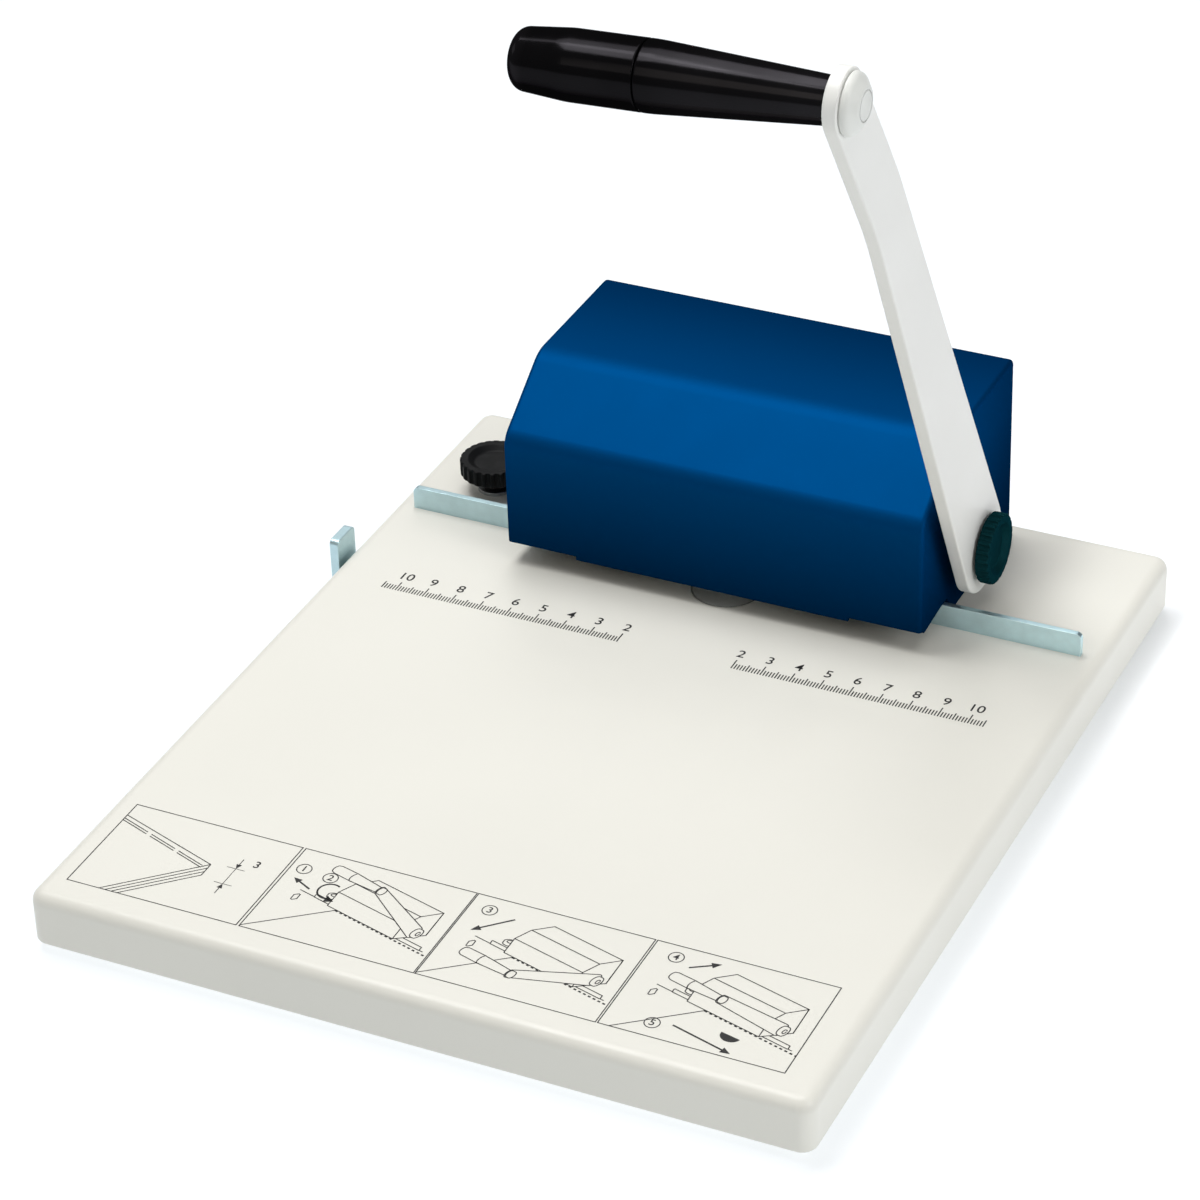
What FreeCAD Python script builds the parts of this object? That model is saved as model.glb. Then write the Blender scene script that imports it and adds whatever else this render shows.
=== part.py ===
import FreeCAD, Part
import math
import os
import Sketcher

# Calendar punch: a hand lever press on a lacquered board cuts a half-moon thumb notch
# into the edge of a stack of sheets.
# Frame: x to the right, y to the back, z up. The origin is on the ground, under the blade.
# Millimetres and degrees throughout.

SIZES = {
    # Board
    "board_width": 252,
    "board_depth": 306.6,
    "board_thick": 18,
    "board_shift": 1,
    "board_corner": 5,
    "board_edge": 4,
    "board_under_edge": 1,
    # Feet
    "foot_height": 3,
    "foot_radius": 10,
    "foot_taper": 1,
    "foot_inset_side": 18,
    "foot_inset_end": 18,
    "foot_web": 1.4,
    # Die
    "die_radius": 11.6,
    "die_height": 8,
    "die_middle": 79.4,
    "die_gap": 0.35,
    "die_ledge": 1.3,
    "die_land": 4,
    "die_relief": 0.4,
    "moon_radius": 8.5,
    "moon_past_bar": 0.3,
    # Stop bar
    "bar_front": 84.9,
    "bar_thick": 2,
    "bar_height": 8,
    "bar_end_inset": 7.3,
    "bar_corner": 1.8,
    "bar_recess": 1,
    "bar_screw_place": 42,
    "bar_screw_step": 13,
    # Press frame
    "plate_thick": 6,
    "plate_half_width": 58,
    "plate_end": 145.4,
    "side_thick": 5,
    "side_nose": 1.1,
    "side_front_height": 39,
    "side_top_height": 57,
    "side_top_front": 101,
    "side_top_end": 122,
    "side_back_height": 35,
    "back_thick": 6,
    "back_height": 30,
    "tie_radius": 4,
    "tie_place": 121,
    "tie_height": 48,
    # Guide block
    "guide_half_width": 25,
    "guide_front": 70.2,
    "guide_foot_depth": 11,
    "guide_foot_height": 9,
    "guide_floor": 4.2,
    "guide_height": 15,
    "guide_edge": 1.5,
    # Shaft
    "pivot_place": 99.1,
    "pivot_height": 45.1,
    "shaft_radius": 5,
    "shaft_tail": 4,
    "shaft_square": 7,
    "stud_radius": 3,
    "stud_length": 2.6,
    "bush_wall": 2.5,
    "bush_flange": 2,
    "bush_flange_thick": 1.6,
    "circlip_thick": 1,
    "circlip_wall": 2.3,
    "groove_depth": 0.7,
    "spacer_wall": 3,
    # Rack and pinion
    "module": 1,
    "pinion_teeth": 16,
    "pinion_width": 12,
    "backlash": 0.24,
    "tip_share": 0.85,
    "root_share": 1.2,
    "rack_teeth": 6,
    "pin_radius": 1.25,
    # Ram and blade
    "ram_half_width": 9,
    "ram_bottom": 41.5,
    "cross_half_width": 22,
    "cross_bottom": 60.6,
    "cross_thick": 6,
    "cross_edge": 1.5,
    "blade_tip": 26.6,
    "blade_shear": 1,
    "tenon_radius": 3.4,
    "tenon_height": 10,
    "blade_pin_radius": 1.5,
    "blade_pin_height": 5,
    # Springs and their shouldered screws
    "spring_place": 15.6,
    "spring_radius": 4.4,
    "spring_wire": 1,
    "spring_turns": 6,
    "shoulder_radius": 2.5,
    "shoulder_sink": 6,
    "shoulder_head": 4.3,
    "shoulder_head_height": 3,
    # Cover
    "cover_side_room": 10,
    "cover_sheet": 1.3,
    "cover_front": 65.9,
    "cover_back": 146.7,
    "cover_low_front": 29.3,
    "cover_tongue": 27.9,
    "tongue_half_width": 48,
    "cover_first_bend": 68.6,
    "cover_second_bend_place": 93.6,
    "cover_top": 87.4,
    "cover_low_back": 22.3,
    "cover_bar_clear_front": 82.5,
    "cover_bar_clear_flat": 6,
    "cover_bar_clear_back": 93,
    "cover_front_bend": 7,
    "cover_top_bend": 13,
    "cover_back_bend": 2.2,
    "cover_seam": 1.4,
    "cover_hole_gap": 0.8,
    # Lever
    "lever_side_room": 4,
    "lever_thick": 4.4,
    "lever_foot_radius": 15.7,
    "lever_head_radius": 10.2,
    "lever_head_place": -15.6,
    "lever_head_height": 254.2,
    "front_low_angle": -2.95,
    "front_high_angle": 3.75,
    "back_low_angle": 0.45,
    "back_high_angle": 4.45,
    "lever_bend_radius": 160,
    "lever_edge": 0.5,
    # Handle
    "handle_tilt": 2.3,
    "spindle_radius": 4,
    "spindle_past_seam": 9.8,
    "spindle_head_radius": 6,
    "spindle_head_thick": 2.4,
    "grip_seam": 20.2,
    "grip_seam_gap": 0.3,
    "grip_narrow_radius": 7,
    "grip_wide_radius": 10.5,
    "grip_inner_gap": 0.5,
    "grip_free_end": 20,
    "grip_free_radius": 9,
    "grip_free_round": 4,
    "grip_shoulder": 3,
    "grip_curve": 70,
    "spigot_length": 8,
    "spigot_radius": 8.2,
    "nut_pocket_radius": 6.8,
    "nut_radius": 6.4,
    "nut_thick": 5,
    "cap_radius": 9.2,
    "cap_height": 4.7,
    "cap_flat_radius": 5.4,
    "cap_rim": 1.6,
    "cap_round": 2.4,
    "cap_foot_gap": 0.4,
    "cap_plug_radius": 4.2,
    "cap_groove": 0.4,
    # Fluted knobs
    "knob_radius": 11.7,
    "knob_rim": 4.45,
    "knob_edge": 0.8,
    "knob_dish_radius": 8.9,
    "knob_dish_depth": 1.8,
    "knob_dish_slope": 2.2,
    "knob_dish_round": 1.5,
    "knob_flutes": 24,
    "flute_radius": 1.1,
    "flute_depth": 0.85,
    "lever_knob_collar": 1,
    "collar_radius": 6.8,
    # Side stop
    "stop_sheet": 3,
    "stop_tab_gap": 1.3,
    "stop_tab_front": 46.5,
    "stop_tab_width": 11.7,
    "stop_tab_height": 6.3,
    "stop_tab_corner": 1.8,
    "stop_plate_end": 42,
    "stop_plate_back": 115,
    "stop_corner": 8,
    "stop_lift": 6.4,
    "stop_slot_margin": 7.9,
    "clamp_inset": 27,
    "clamp_place_y": 107,
    "clamp_radius": 2.5,
    "clamp_square": 6,
    "clamp_head_radius": 7,
    "clamp_head_thick": 2.6,
    "washer_radius": 6,
    "washer_thick": 1.2,
    "clamp_knob_top": 33,
    "clamp_knob_rim": 5.6,
    "clamp_collar_radius": 4.2,
    "clamp_thread_in_knob": 7.3,
    "retainer_thick": 2,
    "retainer_width": 12,
    "retainer_inset": 11,
    "retainer_overlap": 8,
    # Screws
    "foot_screw_radius": 1.75,
    "foot_screw_length": 14,
    "foot_screw_head": 3.6,
    "foot_screw_head_height": 1.1,
    "base_bolt_radius": 2.5,
    "base_bolt_head": 4.6,
    "base_bolt_head_height": 3,
    "base_bolt_front_x": 33,
    "base_bolt_front_y": 104,
    "base_bolt_back_inset": 8,
    "base_bolt_back_y": 134,
    "frame_screw_radius": 1.5,
    "frame_screw_length": 14,
    "frame_screw_head": 2.8,
    "frame_screw_head_height": 2.4,
    "cover_screw_radius": 1.5,
    "cover_screw_head": 2.9,
    "cover_screw_head_height": 1.8,
    "cover_screw_place": 42,
    "cover_screw_height": 17,
    "bar_screw_radius": 1.25,
    "bar_screw_length": 12,
    "bar_screw_head": 2.5,
    "guide_screw_radius": 2,
    "guide_screw_head": 3.4,
    "guide_screw_head_height": 4,
    "guide_screw_place": 17.5,
    "retainer_screw_radius": 1.5,
    "retainer_screw_length": 10,
    "retainer_screw_head": 3,
    # Clearances
    "running_gap": 0.05,
    "screw_gap": 0.3,
    "slide_gap": 0.2,
    "safe_gap": 0.3,
}

doc = FreeCAD.newDocument("calendar_punch")
sheet = doc.addObject("Spreadsheet::Sheet", "Sizes")
for row, (alias, number) in enumerate(SIZES.items(), 1):
    sheet.set(f"A{row}", alias)
    sheet.set(f"B{row}", str(number))
    sheet.setAlias(f"B{row}", alias)
doc.recompute()

NODES = []
SAME_PLACE = 0.0001


class Size:
    """A size that knows both its number and the sheet expression that gives it."""

    def __init__(self, number, words):
        self.number = float(number)
        self.words = words

    def __add__(self, other):
        return Size(self.number + number_of(other), f"({self.words} + {words_of(other)})")

    def __sub__(self, other):
        return Size(self.number - number_of(other), f"({self.words} - {words_of(other)})")

    def __mul__(self, other):
        return Size(self.number * number_of(other), f"({self.words} * {words_of(other)})")

    def __truediv__(self, other):
        return Size(self.number / number_of(other), f"({self.words} / {words_of(other)})")

    def __rsub__(self, other):
        return Size(number_of(other) - self.number, f"({words_of(other)} - {self.words})")

    def __neg__(self):
        return Size(-self.number, f"(0 - {self.words})")

    __radd__ = __add__
    __rmul__ = __mul__


def number_of(value):
    return value.number if isinstance(value, Size) else float(value)


def words_of(value):
    return value.words if isinstance(value, Size) else f"({float(value)})"


def cosine(angle):
    return Size(math.cos(math.radians(angle.number)), f"cos({angle.words} * 1deg)")


def sine(angle):
    return Size(math.sin(math.radians(angle.number)), f"sin({angle.words} * 1deg)")


def lean_of(across, up):
    """Degrees from upright of a line that runs this far across and up."""
    slope = across / up
    return Size(math.degrees(math.atan(slope.number)), f"(atan({slope.words}) / 1deg)")


class Sheet:
    """Every driving size by its alias, as in s.board_width."""

    def __getattr__(self, alias):
        return Size(SIZES[alias], f"Sizes.{alias}")


s = Sheet()


def bind(thing, prop, size):
    """Tie one property of a feature to the sheet."""
    thing.setExpression(prop, words_of(size))


# Sketches

def origin_plane(body, role):
    return next(item for item in body.Origin.OriginFeatures if item.Role == role)


def new_sketch(body, role, lift=0, origin=(0, 0)):
    """Sketch on an origin plane, lifted along its normal, with its own origin moved."""
    drawing = body.newObject("Sketcher::SketchObject", body.Label + "_sketch")
    drawing.AttachmentSupport = [(origin_plane(body, role), "")]
    drawing.MapMode = "FlatFace"
    bind(drawing, "AttachmentOffset.Base.x", origin[0])
    bind(drawing, "AttachmentOffset.Base.y", origin[1])
    bind(drawing, "AttachmentOffset.Base.z", lift)
    return drawing


def constrain(drawing, kind, items, size):
    index = drawing.addConstraint(Sketcher.Constraint(kind, *items, number_of(size)))
    drawing.setExpression(f"Constraints[{index}]", words_of(size))


def draw_circle(drawing, across, up, radius):
    centre = FreeCAD.Vector(number_of(across), number_of(up), 0)
    circle = Part.Circle(centre, FreeCAD.Vector(0, 0, 1), number_of(radius))
    index = drawing.addGeometry(circle, False)
    constrain(drawing, "DistanceX", (-1, 1, index, 3), across)
    constrain(drawing, "DistanceY", (-1, 1, index, 3), up)
    constrain(drawing, "Radius", (index,), radius)


def draw_outline(drawing, corners):
    """Closed outline of straight runs. A corner with a third value is rounded to it."""
    spots = [FreeCAD.Vector(number_of(c[0]), number_of(c[1]), 0) for c in corners]
    leaving, arriving, arcs = [], [], []
    for index, corner in enumerate(corners):
        here = spots[index]
        if len(corner) < 3:
            leaving.append(here)
            arriving.append(here)
            arcs.append(None)
            continue
        back = (spots[index - 1] - here).normalize()
        ahead = (spots[(index + 1) % len(spots)] - here).normalize()
        half = back.getAngle(ahead) / 2
        radius = number_of(corner[2])
        first = here + back * (radius / math.tan(half))
        last = here + ahead * (radius / math.tan(half))
        centre = here + (back + ahead).normalize() * (radius / math.sin(half))
        turns_left = (first - centre).cross(last - centre).z > 0
        start, stop = (first, last) if turns_left else (last, first)
        angles = [math.atan2(p.y - centre.y, p.x - centre.x) for p in (start, stop)]
        circle = Part.Circle(centre, FreeCAD.Vector(0, 0, 1), radius)
        arcs.append((Part.ArcOfCircle(circle, *angles), turns_left, corner[2]))
        arriving.append(first)
        leaving.append(last)
    count = len(corners)
    lines = [
        drawing.addGeometry(Part.LineSegment(leaving[i], arriving[(i + 1) % count]), False)
        for i in range(count)
    ]
    for index, corner in enumerate(corners):
        before, after = lines[index - 1], lines[index]
        if arcs[index] is None:
            drawing.addConstraint(Sketcher.Constraint("Coincident", before, 2, after, 1))
            spot, end = after, 1
        else:
            arc, turns_left, radius = arcs[index]
            bow = drawing.addGeometry(arc, False)
            spot = drawing.addGeometry(Part.Point(spots[index]), True)
            end = 1
            near, far = (1, 2) if turns_left else (2, 1)
            drawing.addConstraint([
                Sketcher.Constraint("Tangent", before, 2, bow, near),
                Sketcher.Constraint("Tangent", after, 1, bow, far),
                Sketcher.Constraint("PointOnObject", spot, 1, before),
                Sketcher.Constraint("PointOnObject", spot, 1, after),
            ])
            constrain(drawing, "Radius", (bow,), radius)
        constrain(drawing, "DistanceX", (-1, 1, spot, end), corner[0])
        constrain(drawing, "DistanceY", (-1, 1, spot, end), corner[1])


def draw(drawing, shapes):
    """A tuple of centre and radius is a circle, a list of corners is an outline."""
    for shape in shapes:
        if isinstance(shape, tuple):
            draw_circle(drawing, *shape)
        else:
            draw_outline(drawing, shape)


# Features of a body

def new_body(label):
    body = doc.addObject("PartDesign::Body", label)
    body.Label = label
    NODES.append(body)
    return body


def pad(body, role, low, high, *shapes, origin=(0, 0)):
    """Solid slab from low to high, measured along the axis that the plane faces."""
    drawing = new_sketch(body, role, -high if role == "XZ_Plane" else low, origin)
    draw(drawing, shapes)
    slab = body.newObject("PartDesign::Pad", body.Label + "_pad")
    slab.Profile = drawing
    bind(slab, "Length", high - low)
    return slab


def pocket(body, role, low, high, *shapes, origin=(0, 0)):
    """Cut from low to high, measured along the axis that the plane faces."""
    drawing = new_sketch(body, role, -low if role == "XZ_Plane" else high, origin)
    draw(drawing, shapes)
    hole = body.newObject("PartDesign::Pocket", body.Label + "_pocket")
    hole.Profile = drawing
    bind(hole, "Length", high - low)
    return hole


def turn(body, kind, axis, place, shapes):
    """Revolve shapes, drawn as (along, radius), or (radius, up) about a vertical axis."""
    upright = axis == "V_Axis"
    origin = (place[0], 0) if upright else (0, place[1])
    depth = place[1] if upright else place[0]
    drawing = new_sketch(body, "XZ_Plane", -depth, origin)
    draw(drawing, shapes)
    round_part = body.newObject("PartDesign::" + kind, body.Label + "_turned")
    round_part.Profile = drawing
    round_part.ReferenceAxis = (drawing, [axis])
    round_part.Angle = 360
    return round_part


def repeat_round(body, feature, drawing, count):
    """Repeat a feature evenly about the normal through its sketch's origin."""
    pattern = body.newObject("PartDesign::PolarPattern", body.Label + "_round")
    pattern.Originals = [feature]
    pattern.Axis = (drawing, ["N_Axis"])
    pattern.Angle = 360
    bind(pattern, "Occurrences", count)
    body.Tip = pattern


def soften(body, radius, wanted, kind="Fillet"):
    """Fillet or chamfer the edges of the body that the rule picks."""
    doc.recompute()
    tip = body.Tip
    edges = [f"Edge{i}" for i, edge in enumerate(tip.Shape.Edges, 1) if wanted(edge)]
    if not edges:
        raise ValueError(f"no edge of {body.Label} to soften")
    rounding = body.newObject("PartDesign::" + kind, body.Label + "_edges")
    rounding.Base = (tip, edges)
    bind(rounding, "Radius" if kind == "Fillet" else "Size", radius)


def all_at(edge, axis, place):
    """True if every point of the edge has this coordinate."""
    return all(
        abs(getattr(edge.valueAt(t), axis) - number_of(place)) < SAME_PLACE
        for t in (edge.FirstParameter, edge.LastParameter,
                  (edge.FirstParameter + edge.LastParameter) / 2)
    )


# Screws and other pieces from primitives

TOWARDS = {
    "x": FreeCAD.Rotation(FreeCAD.Vector(0, 1, 0), 90),
    "y": FreeCAD.Rotation(FreeCAD.Vector(1, 0, 0), -90),
    "z": FreeCAD.Rotation(),
}
ORDER = {"x": "yz", "y": "xz", "z": "xy"}


def stand(thing, axis, low, spot):
    """Put a primitive's base at low along an axis and at spot on the other two."""
    thing.Placement = FreeCAD.Placement(FreeCAD.Vector(), TOWARDS[axis])
    bind(thing, f"Placement.Base.{axis}", low)
    for name, value in zip(ORDER[axis], spot):
        bind(thing, f"Placement.Base.{name}", value)
    return thing


def rod(axis, low, high, spot, radius):
    cylinder = doc.addObject("Part::Cylinder", "rod")
    bind(cylinder, "Radius", radius)
    bind(cylinder, "Height", high - low)
    return stand(cylinder, axis, low, spot)


def cone(axis, low, high, spot, low_radius, high_radius):
    piece = doc.addObject("Part::Cone", "cone")
    bind(piece, "Radius1", low_radius)
    bind(piece, "Radius2", high_radius)
    bind(piece, "Height", high - low)
    return stand(piece, axis, low, spot)


def hexagon(axis, low, high, spot, radius):
    prism = doc.addObject("Part::Prism", "hexagon")
    prism.Polygon = 6
    bind(prism, "Circumradius", radius)
    bind(prism, "Height", high - low)
    return stand(prism, axis, low, spot)


def fuse(*pieces):
    whole = doc.addObject("Part::MultiFuse", "joined")
    whole.Shapes = list(pieces)
    return whole


def carve(piece, *tools):
    result = doc.addObject("Part::Cut", "carved")
    result.Base = piece
    result.Tool = tools[0] if len(tools) == 1 else fuse(*tools)
    return result


def name_piece(piece, label):
    piece.Label = label
    NODES.append(piece)
    return piece


def tip_over(piece, pivot, angle):
    """Turn a piece about the line along y through pivot, given as x and z."""
    x, z = pivot
    piece.Placement = FreeCAD.Placement(
        FreeCAD.Vector(), FreeCAD.Rotation(FreeCAD.Vector(0, -1, 0), number_of(angle)))
    bind(piece, "Placement.Rotation.Angle", angle)
    bind(piece, "Placement.Base.x", x - x * cosine(angle) + z * sine(angle))
    bind(piece, "Placement.Base.z", z - x * sine(angle) - z * cosine(angle))


def group(label, pieces):
    """Separate solids of the same kind that share one node."""
    bundle = doc.addObject("Part::Compound", label)
    bundle.Links = pieces
    return name_piece(bundle, label)


def socket_screw(axis, sign, seat, spot, shank, head, length, head_height):
    """Cylinder-head screw: the head's underside is at seat, the shank runs along sign."""
    key = head * 0.5
    if sign > 0:
        body = fuse(rod(axis, seat, seat + length, spot, shank),
                    rod(axis, seat - head_height, seat, spot, head))
        hole = hexagon(axis, seat - head_height, seat - head_height * 0.5, spot, key)
    else:
        body = fuse(rod(axis, seat - length, seat, spot, shank),
                    rod(axis, seat, seat + head_height, spot, head))
        hole = hexagon(axis, seat + head_height * 0.5, seat + head_height, spot, key)
    return carve(body, hole)


def flush_screw(axis, face, spot, shank, head, length):
    """Countersunk screw whose head is flush with face and whose shank runs to plus."""
    depth = head - shank
    body = fuse(cone(axis, face, face + depth, spot, head, shank),
                rod(axis, face + depth, face + length, spot, shank))
    return carve(body, hexagon(axis, face, face + depth * 0.6, spot, shank * 0.9))


# Places that several pieces share

TABLE = s.foot_height + s.board_thick
LEFT = s.board_shift - s.board_width * 0.5
RIGHT = s.board_shift + s.board_width * 0.5
HALF_DEPTH = s.board_depth * 0.5
BAR_BACK = s.bar_front + s.bar_thick
PLATE_FRONT = BAR_BACK
PLATE_TOP = TABLE + s.plate_thick
PIVOT = (s.pivot_place, s.pivot_height)
HANDLE = (s.lever_head_place, s.lever_head_height)
SIDE_OUT = s.plate_half_width + s.side_thick
COVER_HALF = SIDE_OUT + s.cover_side_room
LEVER_IN = COVER_HALF + s.lever_side_room
BUSH_RADIUS = s.shaft_radius + s.running_gap + s.bush_wall
PITCH_RADIUS = s.module * s.pinion_teeth * 0.5
PITCH_LINE = s.pivot_place - PITCH_RADIUS
MOON_LINE = s.bar_front + s.moon_past_bar
BLADE_BACK = MOON_LINE - s.running_gap
GUIDE_LOW = TABLE + s.bar_height + s.safe_gap
GUIDE_TOP = GUIDE_LOW + s.guide_height
FOOT_TOP = PLATE_TOP + s.guide_foot_height
FOOT_BACK = PLATE_FRONT + s.guide_foot_depth
RAM_FRONT = MOON_LINE - s.moon_radius - s.running_gap
CROSS_TOP = s.cross_bottom + s.cross_thick
SPRING_LINE = (RAM_FRONT + PITCH_LINE) * 0.5
LEVER_OUT = LEVER_IN + s.lever_thick
CLAMP = (LEFT + s.clamp_inset, s.clamp_place_y)
HEAD_LIFT = s.spindle_head_radius * sine(s.handle_tilt) + s.running_gap
STOP_TOP = s.stop_lift + s.stop_sheet
SPACER_RADIUS = s.shaft_radius + s.running_gap + s.spacer_wall

FOOT_SPOTS = [
    (x, y)
    for x in (LEFT + s.foot_inset_side, RIGHT - s.foot_inset_side)
    for y in (-HALF_DEPTH + s.foot_inset_end, HALF_DEPTH - s.foot_inset_end)
]
BOLT_SPOTS = [
    (-s.base_bolt_front_x, s.base_bolt_front_y), (s.base_bolt_front_x, s.base_bolt_front_y),
    (s.base_bolt_back_inset - s.plate_half_width, s.base_bolt_back_y),
    (s.plate_half_width - s.base_bolt_back_inset, s.base_bolt_back_y),
]
BAR_SCREW_SPOTS = [
    (place * side, TABLE + s.plate_thick * 0.5)
    for side in (-1, 1)
    for place in (s.bar_screw_place, s.bar_screw_place - s.bar_screw_step)
]
GUIDE_SCREW_SPOTS = [
    (s.guide_screw_place * side, FOOT_BACK - s.guide_screw_head - s.safe_gap)
    for side in (-1, 1)
]
SPRING_SPOTS = [(s.spring_place * side, SPRING_LINE) for side in (-1, 1)]
BACK_PLATE_MIDDLE = s.plate_end - s.back_thick * 0.5
FRAME_SCREW_SPOTS = [
    (PLATE_FRONT + s.frame_screw_head * 3, TABLE + s.plate_thick * 0.5),
    (s.plate_end - s.frame_screw_head * 6, TABLE + s.plate_thick * 0.5),
    (BACK_PLATE_MIDDLE, PLATE_TOP + s.back_height * 0.25),
    (BACK_PLATE_MIDDLE, PLATE_TOP + s.back_height * 0.8),
]
COVER_SCREW_SPOTS = [
    (s.cover_screw_place * side, PLATE_TOP + s.cover_screw_height) for side in (-1, 0, 1)
]
RETAINER_MIDDLE = LEFT + s.retainer_inset
RETAINER_LOW = s.stop_lift - s.safe_gap - s.retainer_thick
STOP_BACK = s.stop_plate_back
RETAINER_SPOTS = [
    (RETAINER_MIDDLE, s.stop_tab_front - s.slide_gap - s.retainer_overlap * 0.5),
    (RETAINER_MIDDLE, STOP_BACK + s.slide_gap + s.retainer_overlap * 0.5),
]


def box_outline(x_low, x_high, y_low, y_high, radius=None):
    corners = [(x_low, y_low), (x_high, y_low), (x_high, y_high), (x_low, y_high)]
    return corners if radius is None else [(x, y, radius) for x, y in corners]


def moon_place(growth=0):
    """Straight side and radius of the half-moon hole, all of it grown outwards."""
    return MOON_LINE + growth, s.moon_radius + 2 * growth


def draw_moon(drawing, back, radius):
    """Half disc whose centre is on its straight side."""
    centre = FreeCAD.Vector(0, number_of(back), 0)
    r = number_of(radius)
    circle = Part.Circle(centre, FreeCAD.Vector(0, 0, 1), r)
    bow = drawing.addGeometry(Part.ArcOfCircle(circle, math.pi, 2 * math.pi), False)
    ends = [centre + FreeCAD.Vector(r, 0, 0), centre - FreeCAD.Vector(r, 0, 0)]
    chord = drawing.addGeometry(Part.LineSegment(*ends), False)
    drawing.addConstraint([
        Sketcher.Constraint("Coincident", bow, 2, chord, 1),
        Sketcher.Constraint("Coincident", chord, 2, bow, 1),
        Sketcher.Constraint("PointOnObject", bow, 3, chord),
        Sketcher.Constraint("Horizontal", chord),
    ])
    constrain(drawing, "DistanceX", (-1, 1, bow, 3), 0)
    constrain(drawing, "DistanceY", (-1, 1, bow, 3), back)
    constrain(drawing, "Radius", (bow,), radius)


def moon(body, kind, low, high, back, radius):
    """Pad or pocket of half-moon section from low to high."""
    drawing = new_sketch(body, "XY_Plane", low if kind == "Pad" else high)
    draw_moon(drawing, back, radius)
    feature = body.newObject("PartDesign::" + kind, body.Label + "_moon")
    feature.Profile = drawing
    bind(feature, "Length", high - low)


# Board, feet and die

def make_board():
    body = new_body("base_board")
    pad(body, "XY_Plane", s.foot_height, TABLE,
        box_outline(LEFT, RIGHT, -HALF_DEPTH, HALF_DEPTH, s.board_corner))
    soften(body, s.board_edge, lambda edge: all_at(edge, "z", TABLE))
    soften(body, s.board_under_edge, lambda edge: all_at(edge, "z", s.foot_height))
    seat = TABLE - s.die_height
    pocket(body, "XY_Plane", seat, TABLE, (0, s.die_middle, s.die_radius + s.die_gap))
    pocket(body, "XY_Plane", s.foot_height, seat, (0, s.die_middle, s.die_radius - s.die_ledge))
    ceiling = STOP_TOP + s.slide_gap
    pocket(body, "XY_Plane", s.foot_height, ceiling, box_outline(
        LEFT - s.board_corner, -s.stop_plate_end + s.safe_gap,
        s.stop_tab_front - s.slide_gap, STOP_BACK + s.slide_gap))
    strip = s.retainer_width * 0.5 + s.slide_gap
    pocket(body, "XY_Plane", s.foot_height, RETAINER_LOW + s.retainer_thick, box_outline(
        RETAINER_MIDDLE - strip, RETAINER_MIDDLE + strip,
        s.stop_tab_front - s.slide_gap * 2 - s.retainer_overlap,
        STOP_BACK + s.slide_gap * 2 + s.retainer_overlap))
    pocket(body, "XY_Plane", ceiling, TABLE, (*CLAMP, s.clamp_radius + s.screw_gap))
    sink = s.foot_height + s.base_bolt_head_height + s.safe_gap
    pocket(body, "XY_Plane", s.foot_height, sink,
           *[(x, y, s.base_bolt_head + s.screw_gap) for x, y in BOLT_SPOTS])
    pocket(body, "XY_Plane", sink, TABLE,
           *[(x, y, s.base_bolt_radius + s.screw_gap) for x, y in BOLT_SPOTS])
    deep = s.foot_web + s.foot_screw_length - s.foot_height + s.safe_gap
    pocket(body, "XY_Plane", s.foot_height, s.foot_height + deep,
           *[(x, y, s.foot_screw_radius + s.screw_gap) for x, y in FOOT_SPOTS])
    top = RETAINER_LOW + s.retainer_screw_length + s.safe_gap
    pocket(body, "XY_Plane", RETAINER_LOW + s.retainer_thick, top,
           *[(x, y, s.retainer_screw_radius + s.screw_gap) for x, y in RETAINER_SPOTS])


def make_feet():
    feet = []
    screws = []
    seat = s.foot_height - s.foot_web
    for spot in FOOT_SPOTS:
        blank = cone("z", Size(0, "0"), s.foot_height, spot, s.foot_radius - s.foot_taper,
                     s.foot_radius)
        feet.append(carve(
            blank,
            rod("z", Size(0, "0"), seat, spot, s.foot_screw_head + s.screw_gap),
            rod("z", seat, s.foot_height, spot, s.foot_screw_radius + s.screw_gap)))
        screws.append(socket_screw("z", 1, seat, spot, s.foot_screw_radius, s.foot_screw_head,
                                   s.foot_screw_length, s.foot_screw_head_height))
    group("rubber_feet", feet)
    group("foot_screws", screws)


def make_die():
    body = new_body("die_button")
    low = TABLE - s.die_height
    pad(body, "XY_Plane", low, TABLE, (0, s.die_middle, s.die_radius))
    soften(body, s.die_gap, lambda edge: all_at(edge, "z", low), "Chamfer")
    moon(body, "Pocket", TABLE - s.die_land, TABLE, *moon_place())
    moon(body, "Pocket", low, TABLE - s.die_land, *moon_place(s.die_relief))


def make_stop_bar():
    body = new_body("stop_bar")
    high = TABLE + s.bar_height
    left, right = LEFT + s.bar_end_inset, RIGHT - s.bar_end_inset
    pad(body, "XZ_Plane", s.bar_front, BAR_BACK, [
        (left, TABLE), (right, TABLE), (right, high, s.bar_corner), (left, high, s.bar_corner)])
    clear = s.moon_radius + s.screw_gap
    pocket(body, "XZ_Plane", s.bar_front, s.bar_front + s.bar_recess,
           box_outline(-clear, clear, TABLE, high))
    pocket(body, "XZ_Plane", s.bar_front, BAR_BACK,
           *[(x, z, s.bar_screw_radius + s.screw_gap) for x, z in BAR_SCREW_SPOTS])
    depth = s.bar_screw_head - s.bar_screw_radius + s.screw_gap
    pocket(body, "XZ_Plane", s.bar_front, s.bar_front + depth,
           *[(x, z, s.bar_screw_head + s.screw_gap * 0.5) for x, z in BAR_SCREW_SPOTS])
    group("stop_bar_screws", [
        flush_screw("y", s.bar_front + s.screw_gap * 0.5, spot, s.bar_screw_radius,
                    s.bar_screw_head, s.bar_screw_length)
        for spot in BAR_SCREW_SPOTS])


# Press frame

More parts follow.
